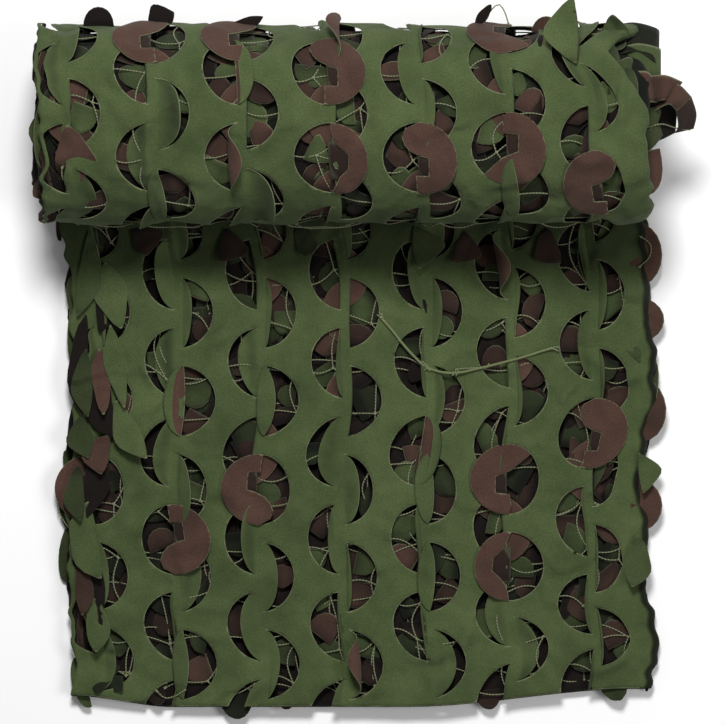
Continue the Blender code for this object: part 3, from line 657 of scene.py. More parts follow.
def leaf_path(cut, depth, along, fold, squeeze):
    """Where a point of the leaf lies: millimetres across, along and above the cloth."""
    wave = soft_noise(depth, along, LEAF_WAVE, cut.seed % 97)
    if cut.state == TUCK:
        out, along, rise = tucked(cut, depth, along, wave)
    elif cut.state == SINK:
        out, along, rise = sunk(cut, depth, along, wave)
    elif cut.state in BEND_RADIUS:
        radius = BEND_RADIUS[cut.state] * (1.0 + 0.35 * cut.lean * along / ARC)
        out, rise = bent(depth, radius)
        along *= 1.0 - 0.08 * depth / radius
    else:
        out, along, rise = drawn_back(cut, depth, along, fold, squeeze, wave)
    return cut.inset * 1000.0 + out, along, rise


def bent(depth, radius):
    """How far out and up a point lies on a leaf that is bent to a radius."""
    return radius * math.sin(depth / radius), radius * (1.0 - math.cos(depth / radius))


def tucked(cut, depth, along, wave):
    """A leaf that turns in at its straight side and lies behind the cloth."""
    if depth < TUCK_TURN:
        turn = math.pi * depth / TUCK_TURN
        return TUCK_RADIUS * math.sin(turn), along, -TUCK_RADIUS * (1.0 - math.cos(turn))
    back = depth - TUCK_TURN
    return -back, along + 0.1 * cut.lean * back, -TUCK_DROP - TUCK_SLOPE * back + TUCK_WAVE * wave


def sunk(cut, depth, along, wave):
    """A leaf that has sunk into its hole."""
    skew = cut.lean * along / ARC
    fall = SINK_FALL * smooth(depth / LEAF, 0.0, 0.6) * (1.0 + 0.3 * skew)
    rise = SINK_WAVE * wave * smooth(depth, 0.0, 5.0) - fall
    return depth * (SINK_REACH + 0.1 * skew), along, rise


def drawn_back(cut, depth, along, fold, squeeze, wave):
    """A leaf that lies on its hole, gathered or pleated, so that a gap stands open at its arc."""
    out = math.sqrt((depth - fold) ** 2 + 0.16) - 0.4
    out = out * (squeeze if depth > fold else 1.0) - fold
    layers = 0.0
    past = max(depth - fold, 0.0) / LEAF
    lift = cut.rise * past ** 1.3 * (1.0 + cut.lean * along / ARC) * 1.5
    if fold > FLAT_FOLD:
        layers = LEAF_REST * (smooth(depth, 0.0, 1.6) + smooth(depth, fold - 0.9, fold + 0.9))
    else:
        drawn = smooth(cut.state, 8.0, 26.0)
        lift *= 1.0 - 0.7 * drawn
        dip = smooth(depth, 0.0, 1.2) * math.exp(-((depth - 1.5) / 2.6) ** 2)
        lift -= DRAWN_DIP * drawn * dip
        lift += DRAWN_RISE * drawn * math.sin(math.pi * min(past, 1.0))
    lift += DRAWN_WAVE * wave * smooth(past, 0.05, 0.4)
    lift = max(lift, -layers - 1.6 * smooth(past, 0.2, 0.5))
    return out, along + 0.1 * cut.lean * LEAF * past, layers + lift


def leaf_edge(cut, along):
    """How far a leaf still reaches over its hole, in millimetres from the straight side."""
    full = arc_depth(along)
    if isinstance(cut.state, str):
        return full * STATE_COVER.get(cut.state, 0.0)
    fold, squeeze = pleat(cut, along, full)
    return full - 2.0 * fold if fold > FLAT_FOLD else full * squeeze


class Openings:
    """Paints shade: tells how dark a place is painted from how wide the holes over it stand open."""

    def __init__(self, cuts, shades):
        """cuts are the holes over the plies, or None for the ply that has them itself."""
        self.cuts, self.shades = cuts, shades

    def leaf_shade(self, cut, x, v, share):
        """Painted light and shade of a leaf: a hidden one is painted lighter than its ply, an outer one a
        little darker.
        """
        if self.cuts is None:
            darker = LEAF_DARK * abs(cut.flutter) * math.sin(math.pi * min(share, 1.0))
            return self.shades[cut.ply] + darker
        times = LEAF_LIGHT + LEAF_LIGHT_SPREAD * cut.flutter
        return max(1.0 - (1.0 - self.shade(cut.ply, x, v)) * times, 0.0)

    def shade(self, ply, x, v):
        """Painted shade of a ply there, from 0 to 1: by the room in the holes over it."""
        if self.cuts is None:
            # Beside the roll the top ply gets the roll's painted shadow.
            near_roll = v < TAIL_LENGTH and ply == PLIES - 1
            under_roll = UNDER_ROLL_SHADE * smooth(v, *UNDER_ROLL) if near_roll else 0.0
            return max(self.shades[ply], under_roll)
        clear = 0.0
        for cut in self.cuts:
            across_hole = (x - cut.x) * cut.side * 1000.0
            along = (v - cut.v) * 1000.0
            if across_hole < -3.0 or abs(along) > ARC or across_hole > ARC:
                continue
            room = min(ARC - math.hypot(across_hole, along), across_hole - leaf_edge(cut, along))
            clear = max(clear, room)
        light = CLOSED_LIGHT + (1.0 - CLOSED_LIGHT) * smooth(clear, *CLEAR_ROOM)
        return 1.0 - (1.0 - self.shades[ply]) * light


def add_leaf(sheet, cut, buckets, openings):
    """Adds a cut's leaf as a small sheet that meets the cloth at its straight side."""
    columns = LEAF_COLUMNS[cut.fine]
    dark = sheet.verts.layers.float["inner"]
    way = 1 if cut.ply % 2 == 0 else -1
    grid = []
    for along in [place * 1000.0 for place in cut.rows()]:
        depths, fold, squeeze = leaf_depths(cut, along, columns)
        line = []
        for depth in depths:
            x, v, rise = leaf_path(cut, depth, along, fold, squeeze)
            if not cut.fine:
                rise = min(rise, HIDDEN_RISE)
            x = min(max(cut.x + cut.side * x * 0.001, -SIDE_LIMIT), SIDE_LIMIT)
            v = max(cut.v + v * 0.001, 0.0)
            lift = surface_lift(Vector((sheet_u(cut.ply, x), v)), x, cut.ply, buckets)
            ground = ply_height(cut.ply, v) + cut.outward * lift
            place = lay(pulled(x, v, cut.ply), v, ground + cut.outward * rise * 0.001)
            flat_x = cut.x + cut.side * (cut.inset + depth * 0.001)
            vert = sheet.verts.new(place)
            share = depth / max(depths[-1], 0.001)
            # Painted light and shade of the leaf, at most 0.5 lighter than the ply's painted shade there.
            vert[dark] = max(openings.leaf_shade(cut, x, v, share), openings.shade(cut.ply, x, v) - 0.5)
            line.append((vert, (sheet_u(cut.ply, flat_x), cut.v + along * 0.001)))
        grid.append(line)
    fill_grid(sheet, list(zip(*grid)), lambda corners: cut.side * way < 0)
    return [line[0][0] for line in grid]


def fill_grid(sheet, grid, flips):
    """Joins rows of points with faces; flips tells which of them are to be turned over."""
    uv = sheet.loops.layers.uv["flat"]
    for first, second in zip(grid, grid[1:]):
        for column in range(len(first) - 1):
            corners = [first[column], first[column + 1], second[column + 1], second[column]]
            if flips(corners):
                corners.reverse()
            add_face(sheet, uv, corners)


def add_face(sheet, uv, corners):
    """A smooth face between points given with their places on the flat cloth.

    It is left out where it has no area.
    """
    spots = [vert.co for vert, _ in corners]
    pairs = zip(spots[1:], spots[2:])
    size = sum((first - spots[0]).cross(second - spots[0]).length for first, second in pairs)
    if size < NO_AREA:
        return
    face = sheet.faces.new([vert for vert, _ in corners])
    face.smooth = True
    for loop, (_, flat) in zip(face.loops, corners):
        loop[uv].uv = flat


def column_x(index):
    """x of a column of cuts."""
    return FIRST_COLUMN + index * COLUMN_PITCH


def row_lean(x):
    """How far a row of cuts has run up at x."""
    return ROW_LEAN * smooth(x, *ROW_RISE)


def outer_cuts(part):
    """The cuts of the flat part's top ply, or of the roll's outer ply, as they show."""
    cuts = []
    table = TAIL_CUTS if part == "flat" else ROLL_CUTS
    for side, sign in SIDES.items():
        for index in range(COLUMNS):
            x = column_x(index)
            for row, state in enumerate(table[side][index]):
                seed = 1000 * index + 10 * row + sign
                if part == "flat":
                    v = TAIL_ROW[side] - row * ROW_PITCH + row_lean(x)
                    cuts.append(Cut(PLIES - 1, sign, x, v, state, 1, True, seed))
                else:
                    number = row + ROLL_FIRST_ROW[side]
                    v = ROLL_TOP + ROLL_ROW[side] + number * ROW_PITCH - row_lean(x)
                    cuts.append(Cut(0, sign, x, v, state, -1, True, 77 + seed))
    return [cut for cut in cuts if cut.state != 0]


def hidden_cuts(ply, low, high, outward):
    """The cuts of a ply that only shows through the holes above it."""
    cuts = []
    slide = HIDDEN_SLIDE * (ply + 1)
    for side, sign in SIDES.items():
        for index in range(COLUMNS):
            x = column_x(index) + 0.5 * slide
            v = low + HIDDEN_ROW[side] + slide
            row = 0
            while v < high - HIDDEN_END:
                number = 5 * index + 3 * row + 7 * ply + (2 if sign > 0 else 0)
                state = HIDDEN_STATES[number % len(HIDDEN_STATES)]
                cuts.append(Cut(ply, sign, x, v, state, outward, False, 31 * index + row + 900 * ply))
                v += ROW_PITCH
                row += 1
    return cuts


# ---- drawing, cutting and laying one part of the sheet ---------------------------------
def inside(point, corners):
    """True where the point lies within the outline."""
    odd = False
    for first, second in zip(corners, corners[1:] + corners[:1]):
        if (first.y > point.y) != (second.y > point.y):
            cross = first.x + (second.x - first.x) * (point.y - first.y) / (second.y - first.y)
            if point.x < cross:
                odd = not odd
    return odd


class Buckets:
    """Finds the cuts near a point of the flat sheet."""

    SIZE = 0.1

    def __init__(self, cuts):
        """Puts each cut into the squares around its own."""
        self.cells = {}
        for cut in cuts:
            column, row = self.cell(sheet_u(cut.ply, cut.x), cut.v)
            for step_u in (-1, 0, 1):
                for step_v in (-1, 0, 1):
                    self.cells.setdefault((column + step_u, row + step_v), []).append(cut)

    def cell(self, u, v):
        """The square of the flat sheet that a place lies in."""
        return int(u / self.SIZE), int((v + 1.0) / self.SIZE)

    def near(self, point):
        """The cuts whose holes may reach the point."""
        return self.cells.get(self.cell(point.x, point.y), ())


def draw_zone(u_lines, v_lines, cuts, buckets, clear):
    """Points and edges of a part of the flat sheet, with its cuts; clear of them by that much."""
    points, edges = [], []

    def chain(corners, closed):
        """Adds points joined one to the next."""
        first, count = len(points), len(corners)
        points.extend(corners)
        for step in range(count if closed else count - 1):
            edges.append((first + step, first + (step + 1) % count))

    for u in (u_lines[0], u_lines[-1]):
        chain([Vector((u, v)) for v in v_lines], False)
    for v in (v_lines[0], v_lines[-1]):
        chain([Vector((u, v)) for u in u_lines], False)
    for u in u_lines[1:-1]:
        for v in v_lines[1:-1]:
            point = Vector((u, v))
            if all(min((corner - point).length for corner in cut.corners) > clear
                   for cut in buckets.near(point)):
                points.append(point)
    for cut in cuts:
        chain(cut.corners, True)
    return points, edges


def pulled(x, v, ply):
    """x after the ply's edges are drawn in unevenly."""
    side = 1.0 if x > 0.0 else -1.0
    fold = ply // 2 if side > 0.0 else 5 + (ply + 1) // 2
    draw = sum((height * soft_noise(v, side, size, seed + fold) for size, seed, height in EDGE_WAVES),
               0.5)
    edge = PLY_WIDTH / 2
    corner = math.exp(-((v - CORNER_PLACE) / CORNER_SIZE) ** 2)
    gathered = ROLL_DRAW * smooth(v, *ROLL_DRAWN_IN) * smooth(x, ROLL_FROM, edge)
    gathered += CORNER_DRAW * corner * smooth(x, CORNER_FROM, edge)
    return x - gathered - side * EDGE_DRAW * min(max(draw, 0.0), 1.0) * smooth(abs(x), EDGE_FROM, edge)


def surface_lift(point, x, ply, buckets):
    """How far the cloth stands off its ply: its waves, and a curl outside the arcs."""
    lift = relief(x, point.y, ply)
    for cut in buckets.near(point):
        if cut.ply != ply:
            continue
        offset_x, offset_v = x - cut.x, point.y - cut.v
        distance = math.hypot(offset_x, offset_v) - CUT_RADIUS
        if distance > -0.001 and offset_x * cut.side > 0:
            lift += ARC_CURL * cut.flutter * math.exp(-(distance / ARC_CURL_SIZE) ** 2)
    return lift


def cut_sheet(u_lines, v_lines, cuts, buckets, clear):
    """A part of the sheet, flat and with its holes cut out; its UV map keeps u and v."""
    points, edges = draw_zone(u_lines, v_lines, cuts, buckets, clear)
    found = delaunay_2d_cdt(points, edges, [], 0, MERGE_DISTANCE)
    sheet = bmesh.new()
    uv = sheet.loops.layers.uv.new("flat")
    verts = [sheet.verts.new((point.x, point.y, 0.0)) for point in found[0]]
    low, high = Vector((u_lines[0], v_lines[0])), Vector((u_lines[-1], v_lines[-1]))
    for corners in found[2]:
        centre = sum((found[0][corner] for corner in corners), Vector((0.0, 0.0))) / len(corners)
        outside = not (low.x < centre.x < high.x and low.y < centre.y < high.y)
        if outside or any(inside(centre, cut.corners) for cut in buckets.near(centre)):
            continue
        face = sheet.faces.new([verts[corner] for corner in reversed(corners)])
        face.smooth = True
        for loop in face.loops:
            loop[uv].uv = loop.vert.co.xy
    drop_loose(sheet, sheet.verts)
    return sheet


def drop_loose(sheet, verts):
    """Takes out the points that no face uses."""
    bmesh.ops.delete(sheet, geom=[vert for vert in verts if not vert.link_faces], context="VERTS")


def cloth_mesh(name, u_lines, v_lines, cuts, outward, openings, clear=0.002, extras=None):
    """A cut part of the sheet, laid in place, with its leaves.

    openings tells how shaded each place is, clear is the room kept between the holes and the
    points around them, and extras adds loose leaves.
    """
    buckets = Buckets(cuts)
    sheet = cut_sheet(u_lines, v_lines, cuts, buckets, clear)
    low, high = Vector((u_lines[0], v_lines[0])), Vector((u_lines[-1], v_lines[-1]))
    seam = [vert for vert in sheet.verts if is_seam(vert.co, low, high)]
    rim = sheet.verts.layers.float.new("rim")
    # The point attribute "inner" holds painted shade, from 0 to 1, that darkens the colour.
    shade = sheet.verts.layers.float.new("inner")
    selvedge = []
    for vert in sheet.verts:
        ply, x, _ = ply_place(vert.co.x, vert.co.y)
        vert[shade] = openings.shade(ply, x, vert.co.y)
        if PLY_WIDTH / 2 - abs(x) < EDGE_MARGIN + 1e-5:
            selvedge.append(vert)
    lay_sheet(sheet, buckets, outward)
    body = list(sheet.verts)
    for cut in cuts:
        if cut.turned:
            add_flap(sheet, cut, openings)
        else:
            seam += add_leaf(sheet, cut, buckets, openings)
    hinges = [vert for vert in seam if vert.is_valid]
    if extras:
        extras(sheet)
    bmesh.ops.remove_doubles(sheet, verts=body + hinges, dist=JOIN_DISTANCE)
    drop_loose(sheet, sheet.verts)
    ends = {vert for vert in seam + selvedge if vert.is_valid}
    for vert in sheet.verts:
        vert.co.z = max(vert.co.z, CLOTH / 2)
        vert[rim] = 1.0 if vert.is_boundary and vert not in ends else 0.0
    mesh = bpy.data.meshes.new(name)
    sheet.to_mesh(mesh)
    sheet.free()
    return mesh


def is_seam(point, low, high):
    """True on the lines where one part of the sheet meets the next."""
    sides = abs(point.x - low.x) < MERGE_DISTANCE or abs(point.x - high.x) < MERGE_DISTANCE
    start = abs(point.y - low.y) < MERGE_DISTANCE and low.y > 0.0
    return sides or start or abs(point.y - high.y) < MERGE_DISTANCE


def lay_sheet(sheet, buckets, outward):
    """Moves every point of the flat drawing to its place in the fold and roll."""
    places = []
    for vert in sheet.verts:
        flat = vert.co.xy
        ply, x, rest = ply_place(flat.x, flat.y)
        height = rest + outward * surface_lift(flat, x, ply, buckets)
        if flat.y < TAIL_LENGTH:
            height = max(height, CLOTH / 2)
        places.append((vert, lay(pulled(x, flat.y, ply), flat.y, height)))
    for vert, place in places:
        vert.co = place


def flap_outline(kind):
    """A turned leaf's outline in millimetres, arc first."""
    start, end = (math.radians(angle) for angle in FLAP_ARC[kind])
    arc = []
    for step in range(FLAP_STEPS + 1):
        angle = start + (end - start) * step / FLAP_STEPS
        arc.append(Vector((FLAP_RADIUS * math.cos(angle), FLAP_RADIUS * math.sin(angle))))
    corners = [Vector(point) for point in reversed(FLAP_INNER[kind])]
    inner = []
    for first, second in zip(corners, corners[1:] + [arc[0]]):
        parts = max(1, round((second - first).length / FLAP_PART))
        inner += [first.lerp(second, part / parts) for part in range(parts)]
    return arc + inner


def flap_rise(x, y, cut):
    """How far a point of a turned leaf stands over the cloth, in millimetres."""
    from_crease = 0.6 * x - 0.8 * y + 8.0 * cut.lean
    rise = FLAP_REST + FLAP_LIFT * smooth(x, 2.0, 34.0) * (0.5 + 0.5 * cut.flutter)
    rise += FLAP_WAVE * soft_noise(x, y, FLAP_WAVE_SIZE, cut.seed % 89)
    rise += FLAP_CREASE * cut.bend * math.exp(-(from_crease / CREASE_WIDTH) ** 2)
    rise += FLAP_TILT * smooth(-x, 2.0, 20.0) * cut.lean
    return max(rise, FLAP_LEAST)


def flap_faces(corners, step):
    """Points and faces that fill a turned leaf's outline, about a step apart."""
    points = list(corners)
    edges = [(index, (index + 1) % len(corners)) for index in range(len(corners))]
    reach = int((ARC + 1.0) / step) + 1
    for column in range(-reach, reach):
        for row in range(-reach, reach):
            point = Vector((column * step, row * step + 0.4))
            room = min((corner - point).length for corner in corners)
            if room > 0.6 * step and inside(point, corners):
                points.append(point)
    found = delaunay_2d_cdt(points, edges, [], 0, MERGE_DISTANCE)
    faces = []
    for face_corners in found[2]:
        centre = sum((found[0][corner] for corner in face_corners), Vector((0.0, 0.0)))
        if inside(centre / len(face_corners), corners):
            faces.append(face_corners)
    return found[0], faces


def add_flap(sheet, cut, openings):
    """Adds a leaf that is turned over and lies on the cloth, back side up."""
    def shade(x, v):
        """Painted shade of the turned leaf there, with an uneven stain on an outer one."""
        if openings.cuts is None:
            stain = 1.0 + soft_noise(x, v, FINE_WAVE[1], cut.seed % 71)
            return openings.shade(cut.ply, x, v) + FLAP_STAIN * stain
        return openings.leaf_shade(cut, x, v, 0.0)

    points, faces = flap_faces(flap_outline(cut.state), FLAP_MESH[cut.fine])
    lay_flap(sheet, cut, points, faces, 0.0, shade)
    # The strip under the notch is dark with painted shade, standing for the shaded hole.
    low_x, low_y, high_x, high_y = FLAP_BACKING[cut.state]
    points = [Vector((low_x + (high_x - low_x) * column / 3, low_y + (high_y - low_y) * row / 3))
              for row in range(4) for column in range(4)]
    faces = [(4 * row + column, 4 * row + column + 1, 4 * row + column + 5, 4 * row + column + 4)
             for row in range(3) for column in range(3)]
    lay_flap(sheet, cut, points, faces, BACKING_DROP, lambda x, v: BACKING_SHADE)


def lay_flap(sheet, cut, points, faces, drop, shade):
    """Lays flat faces as a turned leaf, or that many millimetres below one."""
    uv = sheet.loops.layers.uv["flat"]
    dark = sheet.verts.layers.float["inner"]
    flip_y = -1.0 if cut.mirror else 1.0
    verts = []
    for point in points:
        x = cut.x - cut.side * point.x * 0.001
        v = cut.v + flip_y * point.y * 0.001
        height = (flap_rise(point.x, point.y, cut) - drop) * 0.001 + relief(x, v, cut.ply)
        vert = sheet.verts.new(lay(x, v, ply_height(cut.ply, v) + cut.outward * height))
        vert[dark] = shade(x, v)
        verts.append((vert, tuple(point * 0.001)))
    skyward = outward_way(cut.x, cut.v, cut.outward)
    # The side that faced in on the sheet now faces out; every second ply lies back side up.
    green_out = is_green_out(cut.ply, cut.outward)
    for corners in faces:
        chosen = [verts[corner] for corner in corners]
        spots = [vert.co for vert, _ in chosen]
        normal = (spots[1] - spots[0]).cross(spots[2] - spots[0])
        if (normal.dot(skyward) > 0.0) == green_out:
            chosen.reverse()
        add_face(sheet, uv, chosen)
    drop_loose(sheet, [vert for vert, _ in verts])


def outward_way(x, v, outward):
    """The way out of the stack at a place of it."""
    return (outward * (lay(x, v, 0.01) - lay(x, v, 0.0))).normalized()


def is_green_out(ply, outward):
    """True where the ply's green face is the one that shows from outside."""
    return (ply % 2 == 1) if outward > 0 else (ply % 2 == 0)


def loose_leaf(sheet, place, out, up, reach, half, bend, green_up, shade=0.3, pointed=False,
               rows=10):
    """Adds a leaf that hangs loose, bent along its reach: half-round, or pointed at both ends.

    place is the middle of its straight side, out the way it goes from there and up the way it
    faces.  reach is its length, half its half width and bend how far it bends, in radians.
    """
    dark = sheet.verts.layers.float["inner"]
    out = (out - up * out.dot(up)).normalized()
    sideways = up.cross(out)
    uneven = 0.55 * math.sin(913.0 * place.x + 377.0 * place.y)
    columns = rows - 1
    grid = []
    for row in range(rows + 1):
        angle = math.pi / 2 * (2.0 * row / rows - 1.0)
        full = reach if pointed else reach * (0.25 + 0.75 * math.cos(angle))
        line = []
        for column in range(columns + 1):
            depth = full * column / columns
            along = half * math.sin(angle)
            if pointed:
                along = pointed_along(along, half, angle, depth / reach, uneven)
            step, rise = bent(depth, reach / bend) if abs(bend) > 0.01 else (depth, 0.0)
            rise += 0.10 * half * (1.0 - min(abs(2.0 * along / half - uneven), 1.0))
            ripple = soft_noise(depth, along, RIPPLE_SIZE, 40.0 + 9.0 * uneven)
            rise += LEAF_RIPPLE * ripple * smooth(depth, 0.0, 0.008)
            vert = sheet.verts.new(place + sideways * along + out * step + up * rise)
            # Painted shade, with more of it towards the leaf's straight side.
            vert[dark] = min(shade + 0.25 * (1.0 - smooth(depth, 0.0, 0.014)), 1.0)
            line.append((vert, (depth, along)))
        grid.append(line)
    fill_grid(sheet, grid, lambda corners: not green_up)


def pointed_along(along, half, angle, share, uneven):
    """How far sideways a point of a pointed leaf lies, at a share of its length."""
    bow = math.sin(math.pi * min(share, 0.999))
    along *= (0.06 + 0.94 * bow ** 0.75) * (1.0 + 1.3 * uneven * math.sin(angle))
    along += 0.3 * uneven * half * bow
    return along * (1.0 + 0.15 * math.sin(7.0 * share + 9.0 * uneven))


def side_leaves(sheet, low, high, plies, outward, seed):
    """Leaves that stick out along both sides of the stack, between its plies."""
    chance = random.Random(seed)
    for side in (-1.0, 1.0):
        v = low + chance.uniform(*SIDE_FIRST)
        while v < high:
            ply = chance.choice(plies)
            x = side * (PLY_WIDTH / 2 - chance.uniform(*SIDE_START))
            height = ply_height(ply, v) + chance.uniform(*SIDE_HEIGHT)
            place = lay(pulled(x, v, ply), v, max(height, 0.002))
            up = outward_way(x, v, outward)
            ahead = (lay(x, v + 0.005, height) - place).normalized()
            yaw = chance.uniform(*SIDE_YAW)
            out = Vector((side * math.cos(yaw), 0.0, 0.0)) + ahead * math.sin(yaw)
            tip = out + up * chance.uniform(*SIDE_TIP)
            reach = chance.uniform(*SIDE_REACH)
            loose_leaf(sheet, place, tip, up, reach, chance.uniform(*SIDE_HALF),
                       chance.uniform(*SIDE_BEND), chance.random() < SIDE_GREEN,
                       chance.uniform(*SIDE_DARK))
            v += chance.uniform(*SIDE_STEP)


def backing_leaves(sheet, cuts):
    """Adds the scraps of cloth that show through the outer holes, just behind the strings."""
    for cut in cuts:
        chance = random.Random(4000 + cut.seed)
        edge = leaf_edge(cut, 0.0)
        narrow = edge > SCRAP_NARROW
        if edge > SCRAP_CLOSED or (narrow and chance.random() < 0.5):
            continue
        middle = 0.0005 * (edge + ARC)
        count = 1 if narrow else 3 if edge < SCRAP_OPEN else 2
        part = "roll" if cut.v > TAIL_LENGTH else "flat"
        first_green = chance.random() < SCRAP_GREEN[part]
        for number in range(count):
            x = cut.x + cut.side * (middle + chance.uniform(*SCRAP_STRAY_X))
            v = cut.v + SCRAP_STEP * (number + 0.5 - count / 2) + chance.uniform(*SCRAP_STRAY_V)
            if abs(x) > SCRAP_LIMIT or v < SCRAP_FIRST:
                continue
            place = net_point(cut.ply, cut.outward, x, v, chance.uniform(*SCRAP_DROP))
            up = outward_way(x, v, cut.outward)
            ahead = (lay(x, v + 0.005, 0.0) - lay(x, v, 0.0)).normalized()
            yaw = chance.uniform(0.0, math.tau)
            out = Vector((math.cos(yaw), 0.0, 0.0)) + ahead * math.sin(yaw)
            reach = chance.uniform(*SCRAP_REACH)
            green = first_green if number % 2 == 0 else not first_green
            loose_leaf(sheet, place - out * 0.5 * reach, out, up, reach, chance.uniform(*SCRAP_HALF),
                       chance.uniform(*SCRAP_BEND), green, chance.uniform(*SCRAP_DARK[part]),
                       chance.random() < SCRAP_POINTED, SCRAP_ROWS)


def strip(sheet, lines, face, shade):
    """Adds a ribbon of cloth between two edges, given as pairs of points along it."""
    dark = sheet.verts.layers.float["inner"]
    ends = [[Vector(point) + CENTRE_SHIFT for point in line] for line in lines]
    grid, length = [], 0.0
    for number in range(len(ends) - 1):
        around = [ends[max(number - 1, 0)], ends[number], ends[number + 1],
                  ends[min(number + 2, len(ends) - 1)]]
        for step in range(STRIP_STEPS if number < len(ends) - 2 else STRIP_STEPS + 1):
            edge = [catmull([pair[side] for pair in around], step / STRIP_STEPS) for side in (0, 1)]
            row = []
            for part in range(STRIP_COLUMNS + 1):
                share = part / STRIP_COLUMNS
                vert = sheet.verts.new(edge[0].lerp(edge[1], share))
                vert[dark] = shade
                row.append((vert, (length, (edge[1] - edge[0]).length * share)))
            grid.append(row)
            length += STRIP_LENGTH

    def shows_back(corners):
        """True where a face's upper side isn't the one that has to show."""
        spots = [vert.co for vert, _ in corners]
        normal = (spots[1] - spots[0]).cross(spots[3] - spots[0])
        return (normal.z > 0.0) != (face == "green")

    fill_grid(sheet, grid, shows_back)


def catmull(points, share):
    """A place between the middle two of four points, on a smooth line through them."""
    before, first, second, after = points
    square, cube = share * share, share * share * share
    return 0.5 * (2.0 * first + (second - before) * share
                  + (2.0 * before - 5.0 * first + 4.0 * second - after) * square
                  + (3.0 * first - before - 3.0 * second + after) * cube)


def free_leaves(sheet, table):
    """Adds a table's leaves: place, heading and tilt in degrees, size, bend, face and painted shade."""
    for x, y, z, heading, tilt, reach, half, bend, face, shade, pointed in table:
        heading, tilt = math.radians(heading), math.radians(tilt)
        level = Vector((math.cos(heading), math.sin(heading), 0.0))
        out = level * math.cos(tilt) + Vector((0.0, 0.0, math.sin(tilt)))
        up = Vector((0.0, 0.0, math.cos(tilt))) - level * math.sin(tilt)
        place = Vector((x, y, z)) + CENTRE_SHIFT
        loose_leaf(sheet, place, out, up, reach, half, bend, face == "green", shade, pointed)


def spread(low, high, step):
    """Even places from low to high, about a step apart."""
    count = max(1, round((high - low) / step))
    return [low + (high - low) * index / count for index in range(count + 1)]


def fold_lines(ply, step):
    """u of the lines on a ply and across the fold that ends it."""
    start = ply * PLY_RUN
    lines = spread(start, start + PLY_WIDTH, step)
    if ply < PLIES - 1:
        lines += [start + PLY_WIDTH + FOLD_LENGTH * share for share in (0.25, 0.5, 0.75)]
    return lines


def cloth_object(mesh, settings):
    """A thin cloth with its green face, its brown face and its cut edge."""
    for slot in (green_material(settings), brown_material(settings), edge_material(settings)):
        mesh.materials.append(slot)
    cloth = bpy.data.objects.new(mesh.name, mesh)
    bpy.context.collection.objects.link(cloth)
    thick = cloth.modifiers.new("thickness", "SOLIDIFY")
    thick.thickness = settings.cloth_thickness
    thick.offset = 0.0
    thick.material_offset = 1
    thick.material_offset_rim = 2
    apply_modifiers(cloth)
    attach(cloth, "root")
    return cloth


def apply_modifiers(item):
    """Keeps the mesh as its modifiers leave it, and takes them off."""
    graph = bpy.context.evaluated_depsgraph_get()
    baked = bpy.data.meshes.new_from_object(item.evaluated_get(graph), preserve_all_data_layers=True,
                                            depsgraph=graph)
    if not baked.polygons:
        raise RuntimeError(item.name + " came out with no faces")
    item.modifiers.clear()
    old = item.data
    item.data = baked
    bpy.data.meshes.remove(old)


# ---- materials -------------------------------------------------------------------------
def new_material(name, finish):
    """A Principled material with that finish, or the one that is there already.

    Gives the material with its node tree and its shader, which are None where it was there.
    """
    found = bpy.data.materials.get(name)
    if found:
        return found, None, None
    made = bpy.data.materials.new(name)
    made.use_nodes = True
    shader = made.node_tree.nodes["Principled BSDF"]
    for key, value in finish.items():
        shader.inputs[key].default_value = value
    return made, made.node_tree, shader


def node(tree, kind, **values):
    """A node with some of its sockets or settings filled in."""
    made = tree.nodes.new(kind)
    for key, value in values.items():
        if key in made.inputs:
            made.inputs[key].default_value = value
        else:
            setattr(made, key, value)
    return made


def attribute(tree, name):
    """What a point of the mesh holds under that name."""
    return node(tree, "ShaderNodeAttribute", attribute_name=name).outputs["Fac"]


def textured(tree, kind, place, **values):
    """A texture's strength at a place."""
    made = node(tree, kind, **values)
    tree.links.new(place, made.inputs["Vector"])
    return made.outputs["Fac"]


def worked(tree, operation, *values):
    """The result of a sum; each value is a number or comes from a node."""
    made = node(tree, "ShaderNodeMath", operation=operation)
    for socket, value in zip(made.inputs, values):
        if isinstance(value, bpy.types.NodeSocket):
            tree.links.new(value, socket)
        else:
            socket.default_value = value
    return made.outputs["Value"]


def ranged(tree, value, low=0.0, high=1.0, start=0.0, end=1.0):
    """A value moved from the range low to high to the range start to end."""
    made = node(tree, "ShaderNodeMapRange")
    for name, limit in (("From Min", low), ("From Max", high), ("To Min", start), ("To Max", end)):
        made.inputs[name].default_value = limit
    tree.links.new(value, made.inputs["Value"])
    return made.outputs["Result"]


def mixed(tree, share, first, second):
    """A mix of two colours; each is a plain colour or comes from a node."""
    made = node(tree, "ShaderNodeMix", data_type="RGBA")
    for name, colour in (("A", first), ("B", second)):
        if isinstance(colour, bpy.types.NodeSocket):
            tree.links.new(colour, made.inputs[name])
        else:
            made.inputs[name].default_value = colour
    tree.links.new(share, made.inputs["Factor"])
    return made.outputs["Result"]


def scaled(tree, colour, share):
    """A colour made darker or lighter by a share."""
    made = node(tree, "ShaderNodeVectorMath", operation="SCALE")
    tree.links.new(colour, made.inputs[0])
    tree.links.new(share, made.inputs["Scale"])
    return made.outputs["Vector"]


def bumped(tree, height, below=None, **values):
    """A bump from a height, over the bump below it."""
    made = node(tree, "ShaderNodeBump", **values)
    tree.links.new(height, made.inputs["Height"])
    if below is not None:
        tree.links.new(below, made.inputs["Normal"])
    return made.outputs["Normal"]


def painted_light_share(tree):
    """Painted shade: the share of light left in a place's colour, from what its point holds in "inner".
    """
    return ranged(tree, attribute(tree, "inner"), start=1.0, end=DEEPEST_LIGHT)


